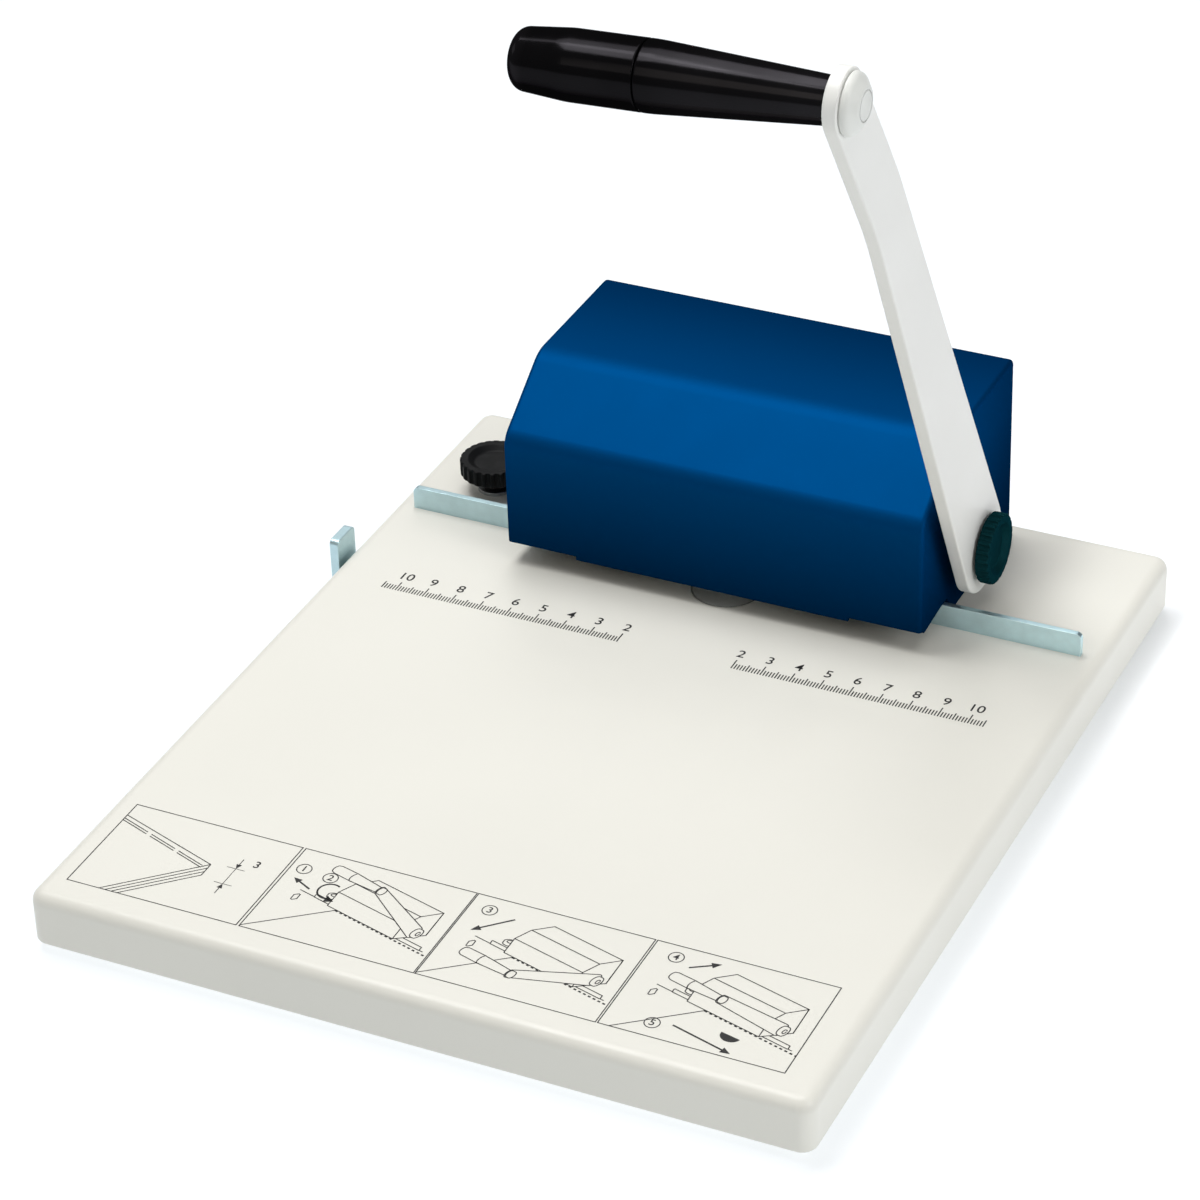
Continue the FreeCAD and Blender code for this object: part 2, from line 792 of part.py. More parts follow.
def make_frame_base():
    body = new_body("frame_base")
    half = s.plate_half_width
    pad(body, "XY_Plane", TABLE, PLATE_TOP,
        box_outline(-half, half, PLATE_FRONT, s.plate_end))
    pocket(body, "XY_Plane", TABLE, PLATE_TOP,
           *[(x, y, s.base_bolt_radius + s.running_gap) for x, y in BOLT_SPOTS],
           *[(x, y, s.guide_screw_radius + s.running_gap) for x, y in GUIDE_SCREW_SPOTS])
    end = s.bar_front + s.bar_screw_length + s.safe_gap * 2
    pocket(body, "XZ_Plane", PLATE_FRONT, end,
           *[(x, z, s.bar_screw_radius + s.running_gap) for x, z in BAR_SCREW_SPOTS])
    deep = s.frame_screw_length - s.side_thick + s.safe_gap
    for low, high in ((-half, deep - half), (half - deep, half)):
        pocket(body, "YZ_Plane", low, high,
               *[(y, z, s.frame_screw_radius + s.running_gap) for y, z in FRAME_SCREW_SPOTS[:2]])
    seat = s.foot_height + s.base_bolt_head_height + s.safe_gap
    reach = PLATE_TOP - seat - s.safe_gap
    group("frame_base_bolts", [
        socket_screw("z", 1, seat, spot, s.base_bolt_radius, s.base_bolt_head, reach,
                     s.base_bolt_head_height)
        for spot in BOLT_SPOTS])


def side_outline():
    front = PLATE_FRONT + s.side_nose
    back = s.plate_end - s.safe_gap
    return [
        (front, TABLE), (back, TABLE), (back, TABLE + s.side_back_height, s.board_edge),
        (s.side_top_end, TABLE + s.side_top_height, s.board_edge),
        (s.side_top_front, TABLE + s.side_top_height, s.board_edge),
        (front, TABLE + s.side_front_height, s.board_edge)]


def make_frame_sides():
    screws = []
    rod_screws = []
    tie = (s.tie_place, TABLE + s.tie_height)
    for label, side in (("frame_side_left", -1), ("frame_side_right", 1)):
        near, far = s.plate_half_width * side, SIDE_OUT * side
        low, high = (far, near) if side < 0 else (near, far)
        body = new_body(label)
        pad(body, "YZ_Plane", low, high, side_outline())
        pocket(body, "YZ_Plane", low, high,
               (*PIVOT, BUSH_RADIUS + s.running_gap),
               (*tie, s.frame_screw_radius + s.screw_gap),
               *[(y, z, s.frame_screw_radius + s.screw_gap) for y, z in FRAME_SCREW_SPOTS])
        for spot in FRAME_SCREW_SPOTS:
            screws.append(socket_screw("x", -side, far, spot, s.frame_screw_radius,
                                       s.frame_screw_head, s.frame_screw_length,
                                       s.frame_screw_head_height))
        rod_screws.append(socket_screw("x", -side, far, tie, s.frame_screw_radius,
                                       s.frame_screw_head, s.frame_screw_length,
                                       s.frame_screw_head_height))
    group("frame_screws", screws)
    group("tie_rod_screws", rod_screws)
    half = s.plate_half_width
    deep = s.frame_screw_length - s.side_thick + s.safe_gap
    bore = s.frame_screw_radius + s.running_gap
    name_piece(carve(
        rod("x", -half, half, tie, s.tie_radius),
        rod("x", -half, deep - half, tie, bore),
        rod("x", half - deep, half, tie, bore)), "tie_rod")


def make_frame_back():
    body = new_body("frame_back")
    half = s.plate_half_width
    front = s.plate_end - s.back_thick
    pad(body, "XZ_Plane", front, s.plate_end,
        box_outline(-half, half, PLATE_TOP, PLATE_TOP + s.back_height))
    pocket(body, "XZ_Plane", front, s.plate_end,
           *[(x, z, s.cover_screw_radius + s.running_gap) for x, z in COVER_SCREW_SPOTS])
    deep = s.frame_screw_length - s.side_thick + s.safe_gap
    for low, high in ((-half, deep - half), (half - deep, half)):
        pocket(body, "YZ_Plane", low, high,
               *[(y, z, s.frame_screw_radius + s.running_gap) for y, z in FRAME_SCREW_SPOTS[2:]])


def make_guide_block():
    body = new_body("guide_block")
    half = s.guide_half_width
    step = PLATE_FRONT + s.safe_gap
    back = PITCH_LINE - s.module
    pad(body, "YZ_Plane", -half, half, [
        (s.guide_front, GUIDE_LOW), (step, GUIDE_LOW), (step, PLATE_TOP), (FOOT_BACK, PLATE_TOP),
        (FOOT_BACK, FOOT_TOP), (back, FOOT_TOP), (back, GUIDE_TOP), (s.guide_front, GUIDE_TOP)])
    soften(body, s.guide_edge, lambda edge: all_at(edge, "y", s.guide_front)
           and all_at(edge, "z", GUIDE_TOP), "Chamfer")
    wide = s.ram_half_width + s.running_gap
    pocket(body, "XY_Plane", GUIDE_LOW + s.guide_floor, GUIDE_TOP,
           box_outline(-wide, wide, RAM_FRONT - s.running_gap, FOOT_BACK + s.guide_edge))
    moon(body, "Pocket", GUIDE_LOW, GUIDE_LOW + s.guide_floor, *moon_place())
    pocket(body, "XY_Plane", PLATE_TOP, FOOT_TOP,
           *[(x, y, s.guide_screw_radius + s.screw_gap) for x, y in GUIDE_SCREW_SPOTS])
    pocket(body, "XY_Plane", FOOT_TOP - s.guide_screw_head_height, FOOT_TOP,
           *[(x, y, s.guide_screw_head + s.screw_gap * 0.5) for x, y in GUIDE_SCREW_SPOTS])
    pocket(body, "XY_Plane", GUIDE_TOP - s.shoulder_sink, GUIDE_TOP,
           *[(x, y, s.shoulder_radius + s.running_gap) for x, y in SPRING_SPOTS])
    seat = FOOT_TOP - s.guide_screw_head_height
    group("guide_block_screws", [
        socket_screw("z", -1, seat, spot, s.guide_screw_radius, s.guide_screw_head,
                     seat - TABLE - s.safe_gap, s.guide_screw_head_height)
        for spot in GUIDE_SCREW_SPOTS])


# Ram, blade and springs

def rack_outline():
    """Side view of the ram: its back carries the rack, its head is the crosshead."""
    pitch = s.module * math.pi
    tip = PITCH_LINE + s.module * s.tip_share
    root = PITCH_LINE - s.module * s.root_share
    slope = math.tan(math.radians(20))
    tip_half = pitch * 0.25 - s.backlash * 0.5 - s.module * s.tip_share * slope
    root_half = pitch * 0.25 - s.backlash * 0.5 + s.module * s.root_share * slope
    corners = [(RAM_FRONT, s.ram_bottom), (root, s.ram_bottom)]
    for tooth in range(SIZES["rack_teeth"]):
        middle = s.pivot_height + pitch * (tooth - 0.5)
        corners += [(root, middle - root_half), (tip, middle - tip_half),
                    (tip, middle + tip_half), (root, middle + root_half)]
    return corners + [(root, CROSS_TOP), (RAM_FRONT, CROSS_TOP)]


def make_ram():
    body = new_body("punch_ram")
    pad(body, "YZ_Plane", -s.ram_half_width, s.ram_half_width, rack_outline())
    half = s.cross_half_width
    pad(body, "XY_Plane", s.cross_bottom, CROSS_TOP, box_outline(
        -half, half, RAM_FRONT, PITCH_LINE - s.module * s.root_share, s.cross_edge))
    pocket(body, "XY_Plane", s.cross_bottom, CROSS_TOP,
           *[(x, y, s.shoulder_radius + s.running_gap) for x, y in SPRING_SPOTS])
    tenon = (0, tenon_line(), s.tenon_radius + s.running_gap)
    pocket(body, "XY_Plane", s.ram_bottom, s.ram_bottom + s.tenon_height + s.safe_gap, tenon)
    pocket(body, "YZ_Plane", -s.ram_half_width, s.ram_half_width,
           (tenon_line(), s.ram_bottom + s.blade_pin_height, s.blade_pin_radius + s.running_gap))


def tenon_line():
    return BLADE_BACK - s.moon_radius * 0.5


def make_blade():
    body = new_body("punch_blade")
    tip = s.blade_tip
    moon(body, "Pad", tip, s.ram_bottom, BLADE_BACK, s.moon_radius - s.running_gap)
    low = tip - s.blade_shear
    slot = s.moon_radius + s.safe_gap
    pocket(body, "XZ_Plane", BLADE_BACK - slot, BLADE_BACK + s.safe_gap,
           [(-slot, low), (slot, low), (0, tip + s.blade_shear)])
    pad(body, "XY_Plane", s.ram_bottom, s.ram_bottom + s.tenon_height,
        (0, tenon_line(), s.tenon_radius))
    pocket(body, "YZ_Plane", -slot, slot,
           (tenon_line(), s.ram_bottom + s.blade_pin_height, s.blade_pin_radius + s.running_gap))
    half = s.ram_half_width - s.safe_gap
    name_piece(rod("x", -half, half, (tenon_line(), s.ram_bottom + s.blade_pin_height),
                   s.blade_pin_radius), "blade_pin")


def make_springs():
    screws = []
    for spot in SPRING_SPOTS:
        low = GUIDE_TOP - s.shoulder_sink
        screws.append(socket_screw("z", -1, CROSS_TOP, spot, s.shoulder_radius,
                                   s.shoulder_head, CROSS_TOP - low - s.safe_gap,
                                   s.shoulder_head_height))
    group("shoulder_screws", screws)
    wire = number_of(s.spring_wire) / 2
    low = number_of(GUIDE_TOP) + wire
    height = number_of(s.cross_bottom) - wire - low
    radius = number_of(s.spring_radius) - wire
    coil = Part.makeHelix(height / number_of(s.spring_turns), height, radius)
    ring = Part.Wire(Part.makeCircle(wire, FreeCAD.Vector(radius, 0, 0), FreeCAD.Vector(0, 1, 0)))
    spring = Part.Wire(coil.Edges).makePipeShell([ring], True, True)
    springs = []
    for side in (-1, 1):
        copy = spring.copy()
        place = FreeCAD.Vector(side * number_of(s.spring_place), number_of(SPRING_LINE), low)
        copy.translate(place)
        springs.append(copy)
    piece = doc.addObject("Part::Feature", "return_springs")
    piece.Shape = Part.makeCompound(springs)
    name_piece(piece, "return_springs")


# Shaft and pinion

def make_shaft():
    body = new_body("main_shaft")
    left = -SIDE_OUT - s.shaft_tail
    pad(body, "YZ_Plane", left, LEVER_IN, (*PIVOT, s.shaft_radius))
    half = s.shaft_square * 0.5
    y, z = PIVOT
    pad(body, "YZ_Plane", LEVER_IN, LEVER_OUT,
        box_outline(y - half, y + half, z - half, z + half, s.lever_thick * 0.25))
    pad(body, "YZ_Plane", LEVER_OUT, LEVER_OUT + s.stud_length, (*PIVOT, s.stud_radius))
    pocket(body, "XZ_Plane", y - s.shaft_radius - s.safe_gap, y + s.shaft_radius + s.safe_gap,
           (0, z, s.pin_radius + s.running_gap))
    groove = -SIDE_OUT - s.safe_gap * 2
    turn(body, "Groove", "H_Axis", PIVOT, [[
        (groove - s.circlip_thick - s.slide_gap, s.shaft_radius - s.groove_depth),
        (groove, s.shaft_radius - s.groove_depth), (groove, s.shaft_radius + s.safe_gap),
        (groove - s.circlip_thick - s.slide_gap, s.shaft_radius + s.safe_gap)]])
    clip = new_body("shaft_circlip")
    inner = s.shaft_radius - s.groove_depth + s.running_gap
    high = groove - s.slide_gap * 0.5
    pad(clip, "YZ_Plane", high - s.circlip_thick, high,
        (*PIVOT, inner + s.circlip_wall), (*PIVOT, inner))
    half_slot = s.shaft_radius * 0.5
    pocket(clip, "YZ_Plane", high - s.circlip_thick, high, box_outline(
        y - half_slot, y + half_slot, z - s.shaft_radius * 2, z - s.shaft_radius * 0.5))


def make_bushes():
    for label, side in (("shaft_bush_left", -1), ("shaft_bush_right", 1)):
        body = new_body(label)
        inner = (s.plate_half_width - s.bush_flange_thick) * side
        face = s.plate_half_width * side
        outer = SIDE_OUT * side
        bore = s.shaft_radius + s.running_gap
        turn(body, "Revolution", "H_Axis", PIVOT, [[
            (inner, bore), (outer, bore), (outer, BUSH_RADIUS), (face, BUSH_RADIUS),
            (face, BUSH_RADIUS + s.bush_flange), (inner, BUSH_RADIUS + s.bush_flange)]])
    spacer = new_body("lever_spacer")
    bore = s.shaft_radius + s.running_gap
    pad(spacer, "YZ_Plane", SIDE_OUT + s.slide_gap, LEVER_IN,
        (*PIVOT, SPACER_RADIUS), (*PIVOT, bore))


def make_pinion():
    """Spur pinion: one tooth with curved flanks, repeated round the hub."""
    body = new_body("drive_pinion")
    half = s.pinion_width * 0.5
    y, z = PIVOT
    root = PITCH_RADIUS - s.module * s.root_share
    base = pad(body, "YZ_Plane", -half, half, (0, 0, root), origin=PIVOT)
    middle = s.module * (math.pi * 0.25) - s.backlash * 0.5
    flank = [
        (root - s.module * 0.5, s.module * 0.95),
        (PITCH_RADIUS - s.module * 0.7, s.module * 0.93),
        (PITCH_RADIUS, middle),
        (PITCH_RADIUS + s.module * 0.5, middle - s.module * 0.245),
        (PITCH_RADIUS + s.module * s.tip_share, middle - s.module * 0.46),
    ]
    tooth = [(-r, -w) for r, w in flank] + [(-r, w) for r, w in reversed(flank)]
    feature = pad(body, "YZ_Plane", -half, half, tooth, origin=PIVOT)
    repeat_round(body, feature, feature.Profile[0], s.pinion_teeth)
    pocket(body, "YZ_Plane", -half, half, (0, 0, s.shaft_radius + s.running_gap), origin=PIVOT)
    reach = PITCH_RADIUS + s.module * 2
    pocket(body, "XZ_Plane", y - reach, y + reach, (0, z, s.pin_radius + s.running_gap))
    pin = root - s.safe_gap
    name_piece(rod("y", y - pin, y + pin, (0, z), s.pin_radius), "pinion_pin")


# Cover

def cover_outline(inset):
    """Side view of the folded cover, moved inwards by inset, open at its foot."""
    rise = number_of(s.cover_top - s.cover_first_bend)
    slope = math.atan2(rise, number_of(s.cover_second_bend_place - s.cover_front))
    front = s.cover_front + inset
    back = s.cover_back - inset
    top = s.cover_top - inset
    shoulder = s.cover_first_bend - inset * math.tan(math.pi / 4 - slope / 2)
    second = s.cover_second_bend_place + inset * math.tan(slope / 2)
    low = s.cover_low_back - inset
    foot = [(front, low), (back, low)] if number_of(inset) else [
        (front, s.cover_tongue), (s.cover_bar_clear_front, s.cover_low_front),
        (s.cover_bar_clear_front + s.cover_bar_clear_flat, s.cover_low_front),
        (s.cover_bar_clear_back, low), (back, low)]
    return foot + [
        (back, top, s.cover_back_bend - inset), (second, top, s.cover_top_bend - inset),
        (front, shoulder, s.cover_front_bend - inset)]


def make_cover():
    body = new_body("cover")
    half = COVER_HALF
    pad(body, "YZ_Plane", -half, half, cover_outline(Size(0, "0")))
    ends = (-half, half)
    top = s.cover_low_front + s.safe_gap
    soften(body, s.cover_seam, lambda edge: any(
        all_at(edge, "x", end) and min(v.Z for v in edge.Vertexes) > number_of(top)
        for end in ends) and not all_at(edge, "y", s.cover_front))
    inside = half - s.cover_sheet
    pocket(body, "YZ_Plane", -inside, inside, cover_outline(s.cover_sheet))
    for low, high in ((-half, -s.tongue_half_width), (s.tongue_half_width, half)):
        pocket(body, "XZ_Plane", s.cover_front, s.cover_front + s.cover_sheet * 2,
               box_outline(low, high, s.cover_low_back, s.cover_low_front))
    hole = SPACER_RADIUS + s.cover_hole_gap
    pocket(body, "YZ_Plane", inside, half, (*PIVOT, hole))
    wall = s.cover_back - s.cover_sheet
    pocket(body, "XZ_Plane", wall, s.cover_back,
           *[(x, z, s.cover_screw_radius + s.screw_gap) for x, z in COVER_SCREW_SPOTS])
    length = s.cover_back - s.plate_end + s.back_thick
    group("cover_screws", [
        socket_screw("y", -1, s.cover_back, spot, s.cover_screw_radius, s.cover_screw_head,
                     length, s.cover_screw_head_height)
        for spot in COVER_SCREW_SPOTS])


# Lever and handle

def meet(first, first_way, second, second_way):
    """Point where two lines in the plane of the lever cross."""
    gap = (second[0] - first[0], second[1] - first[1])
    spread = first_way[0] * second_way[1] - first_way[1] * second_way[0]
    reach = (gap[0] * second_way[1] - gap[1] * second_way[0]) / spread
    return first[0] + first_way[0] * reach, first[1] + first_way[1] * reach


def lever_side(sign, low_lean, high_lean):
    """Three corners of one long edge: both tangent points and the bend between them."""
    foot, head = s.lever_foot_radius * sign, s.lever_head_radius * sign
    low = (PIVOT[0] + foot * cosine(low_lean), PIVOT[1] + foot * sine(low_lean))
    high = (HANDLE[0] + head * cosine(high_lean), HANDLE[1] + head * sine(high_lean))
    low_way = (-sine(low_lean), cosine(low_lean))
    high_way = (-sine(high_lean), cosine(high_lean))
    return low, (*meet(low, low_way, high, high_way), s.lever_bend_radius), high


def make_lever():
    body = new_body("lever_arm")
    lean = lean_of(PIVOT[0] - HANDLE[0], HANDLE[1] - PIVOT[1])
    front = lever_side(-1, lean + s.front_low_angle, lean + s.front_high_angle)
    back = lever_side(1, lean + s.back_low_angle, lean + s.back_high_angle)
    low, high = LEVER_IN, LEVER_OUT
    pad(body, "YZ_Plane", low, high, [*front, *reversed(back)])
    pad(body, "YZ_Plane", low, high, (*PIVOT, s.lever_foot_radius))
    pad(body, "YZ_Plane", low, high, (*HANDLE, s.lever_head_radius))
    soften(body, s.lever_edge, lambda edge: all_at(edge, "x", low) or all_at(edge, "x", high))
    half = s.shaft_square * 0.5 + s.running_gap
    y, z = PIVOT
    pocket(body, "YZ_Plane", low, high,
           box_outline(y - half, y + half, z - half, z + half, s.lever_thick * 0.25),
           (*HANDLE, s.spindle_radius + s.running_gap + s.lever_thick * sine(s.handle_tilt)))


def make_handle():
    """The spindle and the grip point a little below level, the cap stays on the lever."""
    seam = s.grip_seam
    spindle = new_body("handle_spindle")
    seat = LEVER_OUT + HEAD_LIFT
    tip = seam - s.spindle_past_seam
    pad(spindle, "YZ_Plane", tip, seat, (*HANDLE, s.spindle_radius))
    pad(spindle, "YZ_Plane", seat, seat + s.spindle_head_thick,
        (*HANDLE, s.spindle_head_radius))
    soften(spindle, s.lever_edge, lambda edge: all_at(edge, "x", tip), "Chamfer")
    floor = seam + s.grip_seam_gap
    nut_face = floor - s.slide_gap
    nut = name_piece(carve(
        hexagon("x", nut_face - s.nut_thick, nut_face, HANDLE, s.nut_radius),
        rod("x", nut_face - s.nut_thick, nut_face, HANDLE, s.spindle_radius + s.running_gap)),
        "spindle_nut")
    bore = s.spindle_radius + s.running_gap
    sleeve = new_body("grip_sleeve")
    turn(sleeve, "Revolution", "H_Axis", HANDLE, [[
        (floor, bore), (LEVER_IN - s.grip_inner_gap, bore),
        (LEVER_IN - s.grip_inner_gap, s.grip_narrow_radius, s.lever_edge),
        (floor + s.grip_shoulder, s.grip_wide_radius, s.grip_curve),
        (floor, s.grip_wide_radius, s.lever_edge),
        (floor, s.spigot_radius), (floor - s.spigot_length, s.spigot_radius),
        (floor - s.spigot_length, s.nut_pocket_radius), (floor, s.nut_pocket_radius)]])
    end = new_body("grip_end")
    bottom = floor - s.spigot_length - s.grip_seam_gap
    cavity = s.spigot_radius + s.running_gap
    turn(end, "Revolution", "H_Axis", HANDLE, [[
        (-s.grip_free_end, Size(0, "0")), (bottom - s.grip_shoulder, Size(0, "0")),
        (bottom - s.grip_shoulder, s.spindle_radius + s.safe_gap),
        (bottom, s.spindle_radius + s.safe_gap),
        (bottom, cavity), (seam, cavity), (seam, s.grip_wide_radius, s.lever_edge),
        (-s.grip_shoulder, s.grip_wide_radius, s.grip_curve * 0.5),
        (-s.grip_free_end, s.grip_free_radius, s.grip_free_round)]])
    for piece in (spindle, nut, sleeve, end):
        tip_over(piece, (LEVER_OUT, HANDLE[1]), s.handle_tilt)


def make_lever_cap():
    """Domed cap over the spindle's head, with a round plug in its middle."""
    cap = new_body("lever_cap")
    hollow = s.spindle_head_radius + s.safe_gap
    ceiling = LEVER_OUT + HEAD_LIFT * 2 + s.spindle_head_thick + s.slide_gap
    outer = LEVER_OUT + s.cap_height
    ring = s.cap_plug_radius + s.cap_groove
    foot = s.cap_radius - s.cap_foot_gap
    turn(cap, "Revolution", "H_Axis", HANDLE, [[
        (LEVER_OUT, hollow), (ceiling, hollow), (ceiling, Size(0, "0")),
        (outer, Size(0, "0")), (outer, s.cap_plug_radius),
        (outer - s.cap_groove, s.cap_plug_radius), (outer - s.cap_groove, ring),
        (outer, ring), (outer, s.cap_flat_radius, s.cap_rim),
        (LEVER_OUT + s.cap_rim + s.cap_foot_gap, s.cap_radius, s.cap_round),
        (LEVER_OUT + s.cap_foot_gap, s.cap_radius), (LEVER_OUT + s.cap_foot_gap, foot),
        (LEVER_OUT, foot)]])


# Fluted knobs

def knob_profile(face, rim, collar, collar_end, bore, bore_end):
    """Half section of a knob from its dished face down to its collar."""
    dish = face - s.knob_dish_depth
    return [
        (collar_end, bore), (bore_end, bore), (bore_end, Size(0, "0")), (dish, Size(0, "0")),
        (dish, s.knob_dish_radius - s.knob_dish_slope, s.knob_dish_round),
        (face, s.knob_dish_radius, s.knob_edge), (face, s.knob_radius, s.knob_edge),
        (rim, s.knob_radius, s.knob_edge), (rim, collar), (collar_end, collar)]


def make_lever_knob():
    body = new_body("lever_knob")
    rim = LEVER_OUT + s.lever_knob_collar
    face = rim + s.knob_rim
    profile = knob_profile(face, rim, s.collar_radius, LEVER_OUT, s.stud_radius + s.running_gap,
                           LEVER_OUT + s.stud_length + s.safe_gap * 0.5)
    turn(body, "Revolution", "H_Axis", PIVOT, [profile])
    flute = pocket(body, "YZ_Plane", rim, face,
                   (s.knob_radius + s.flute_radius - s.flute_depth, 0, s.flute_radius),
                   origin=PIVOT)
    repeat_round(body, flute, flute.Profile[0], s.knob_flutes)


def make_clamp():
    knob = new_body("clamp_knob")
    face = s.clamp_knob_top
    foot = TABLE + s.washer_thick
    rim = face - s.clamp_knob_rim
    bore_end = foot + s.clamp_thread_in_knob - s.safe_gap
    profile = knob_profile(face, rim, s.clamp_collar_radius, foot,
                           s.clamp_radius + s.running_gap, bore_end)
    turn(knob, "Revolution", "V_Axis", CLAMP, [[(c[1], c[0], *c[2:]) for c in profile]])
    flute = pocket(knob, "XY_Plane", rim, face,
                   (s.knob_radius + s.flute_radius - s.flute_depth, 0, s.flute_radius),
                   origin=CLAMP)
    repeat_round(knob, flute, flute.Profile[0], s.knob_flutes)
    washer = new_body("clamp_washer")
    pad(washer, "XY_Plane", TABLE, foot, (*CLAMP, s.washer_radius),
        (*CLAMP, s.clamp_radius + s.screw_gap))
    bolt = new_body("clamp_bolt")
    head = s.stop_lift - s.safe_gap * 0.5
    x, y = CLAMP
    half = s.clamp_square * 0.5
    pad(bolt, "XY_Plane", head - s.clamp_head_thick, head, (*CLAMP, s.clamp_head_radius))
    soften(bolt, s.clamp_head_thick * 0.5,
           lambda edge: all_at(edge, "z", head - s.clamp_head_thick))
    pad(bolt, "XY_Plane", head, STOP_TOP, box_outline(x - half, x + half, y - half, y + half))
    pad(bolt, "XY_Plane", STOP_TOP, bore_end - s.safe_gap, (*CLAMP, s.clamp_radius))


# Side stop

def make_side_stop():
    body = new_body("side_stop")
    inner = LEFT - s.stop_tab_gap
    front = s.stop_tab_front
    tab_back = front + s.stop_tab_width
    end = -s.stop_plate_end
    elbow = LEFT + s.board_corner
    pad(body, "XY_Plane", s.stop_lift, STOP_TOP, [
        (inner - s.stop_sheet, front), (end, front, s.stop_corner),
        (end, STOP_BACK, s.stop_corner), (elbow, STOP_BACK, s.stop_corner),
        (elbow, tab_back + s.stop_corner, s.stop_corner), (elbow - s.stop_corner, tab_back),
        (inner - s.stop_sheet, tab_back)])
    high = TABLE + s.stop_tab_height
    pad(body, "YZ_Plane", inner - s.stop_sheet, inner, [
        (front, s.stop_lift), (tab_back, s.stop_lift), (tab_back, high, s.stop_tab_corner),
        (front, high, s.stop_tab_corner)])
    half = s.clamp_square * 0.5 + s.slide_gap * 0.5
    x, y = CLAMP
    pocket(body, "XY_Plane", s.stop_lift, STOP_TOP,
           box_outline(x - half, end - s.stop_slot_margin, y - half, y + half))
    soften(body, s.stop_sheet * 0.9, lambda edge: all_at(edge, "x", inner - s.stop_sheet)
           and all_at(edge, "z", s.stop_lift))


def make_retainer():
    body = new_body("stop_retainer")
    half = s.retainer_width * 0.5
    high = RETAINER_LOW + s.retainer_thick
    pad(body, "XY_Plane", RETAINER_LOW, high, box_outline(
        RETAINER_MIDDLE - half, RETAINER_MIDDLE + half,
        s.stop_tab_front - s.slide_gap - s.retainer_overlap,
        STOP_BACK + s.slide_gap + s.retainer_overlap, s.retainer_thick))
    pocket(body, "XY_Plane", RETAINER_LOW, high,
           *[(x, y, s.retainer_screw_radius + s.screw_gap) for x, y in RETAINER_SPOTS])
    depth = s.retainer_screw_head - s.retainer_screw_radius + s.running_gap
    pocket(body, "XY_Plane", RETAINER_LOW, RETAINER_LOW + depth,
           *[(x, y, s.retainer_screw_head + s.screw_gap * 0.5) for x, y in RETAINER_SPOTS])
    group("stop_retainer_screws", [
        flush_screw("z", RETAINER_LOW, spot, s.retainer_screw_radius,
                    s.retainer_screw_head, s.retainer_screw_length)
        for spot in RETAINER_SPOTS])


for make in (make_board, make_feet, make_die, make_stop_bar, make_frame_base,
             make_frame_sides, make_frame_back, make_guide_block, make_ram, make_blade,
             make_springs, make_shaft, make_bushes, make_pinion, make_cover, make_lever,
             make_handle, make_lever_cap, make_lever_knob, make_clamp, make_side_stop,
             make_retainer):
    make()
doc.recompute()

for item in doc.Objects:
    if "Invalid" in item.State or "Error" in item.State:
        raise ValueError(f"{item.Label} failed: {item.State}")
    if item.TypeId in ("PartDesign::Pocket", "PartDesign::Groove"):
        if item.Shape.Volume > item.BaseFeature.Shape.Volume - 1e-3:
            raise ValueError(f"{item.Label} cuts nothing")
os.makedirs("parts", exist_ok=True)
for node in NODES:
    if node.Shape.isNull() or not node.Shape.isValid() or not node.Shape.Solids:
        raise ValueError(f"{node.Label} has no valid shape")
for node in NODES:
    node.Shape.exportStep(f"parts/{node.Label}.step")
    box = node.Shape.BoundBox
    print(f"{node.Label}: {len(node.Shape.Solids)} solids, {node.Shape.Volume:.0f} mm3, "
          f"x {box.XMin:.1f} {box.XMax:.1f}, y {box.YMin:.1f} {box.YMax:.1f}, "
          f"z {box.ZMin:.1f} {box.ZMax:.1f}")
print(len(NODES), "nodes")
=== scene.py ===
import math

import bpy
from mathutils import Matrix, Vector


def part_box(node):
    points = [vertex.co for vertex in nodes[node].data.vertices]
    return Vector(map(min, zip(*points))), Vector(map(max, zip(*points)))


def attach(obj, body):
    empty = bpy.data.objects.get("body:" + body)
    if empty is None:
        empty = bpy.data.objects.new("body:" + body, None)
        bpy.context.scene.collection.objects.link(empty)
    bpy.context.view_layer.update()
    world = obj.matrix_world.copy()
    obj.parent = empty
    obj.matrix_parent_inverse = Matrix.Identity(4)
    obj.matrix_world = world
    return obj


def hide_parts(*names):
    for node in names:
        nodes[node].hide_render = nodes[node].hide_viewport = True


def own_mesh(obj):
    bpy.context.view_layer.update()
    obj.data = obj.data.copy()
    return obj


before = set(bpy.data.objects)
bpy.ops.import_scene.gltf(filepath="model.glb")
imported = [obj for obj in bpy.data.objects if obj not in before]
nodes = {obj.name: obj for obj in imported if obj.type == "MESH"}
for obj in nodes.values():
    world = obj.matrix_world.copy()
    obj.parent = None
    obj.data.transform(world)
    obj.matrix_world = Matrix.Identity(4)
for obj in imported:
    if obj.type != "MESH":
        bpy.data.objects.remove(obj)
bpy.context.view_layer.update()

# Frame: x to the right, y to the back, z up. Materials and the studio are in metres,
# springs and the print on the board in millimetres.
MM = 0.001
TABLE = 21.0
WHITE = (1, 1, 1)


# Materials

# Colour sockets of a mix node, by number because its other sockets have the same names
MIX_FIRST, MIX_SECOND, MIX_RESULT = 6, 7, 2

# Scales of the slow patterns, in grains per metre
PAINT_CLOUDS, PAINT_SHEEN = 14, 60
STEEL_PATCHES, ZINC_CRYSTALS = 45, 320
PLASTIC_CLOUDS, PLASTIC_SHEEN = 40, 220
INK_WEAR, INK_SHEEN, INK_GRAIN = 2600, 600, 1500
FLOOR_CLOUDS = 3


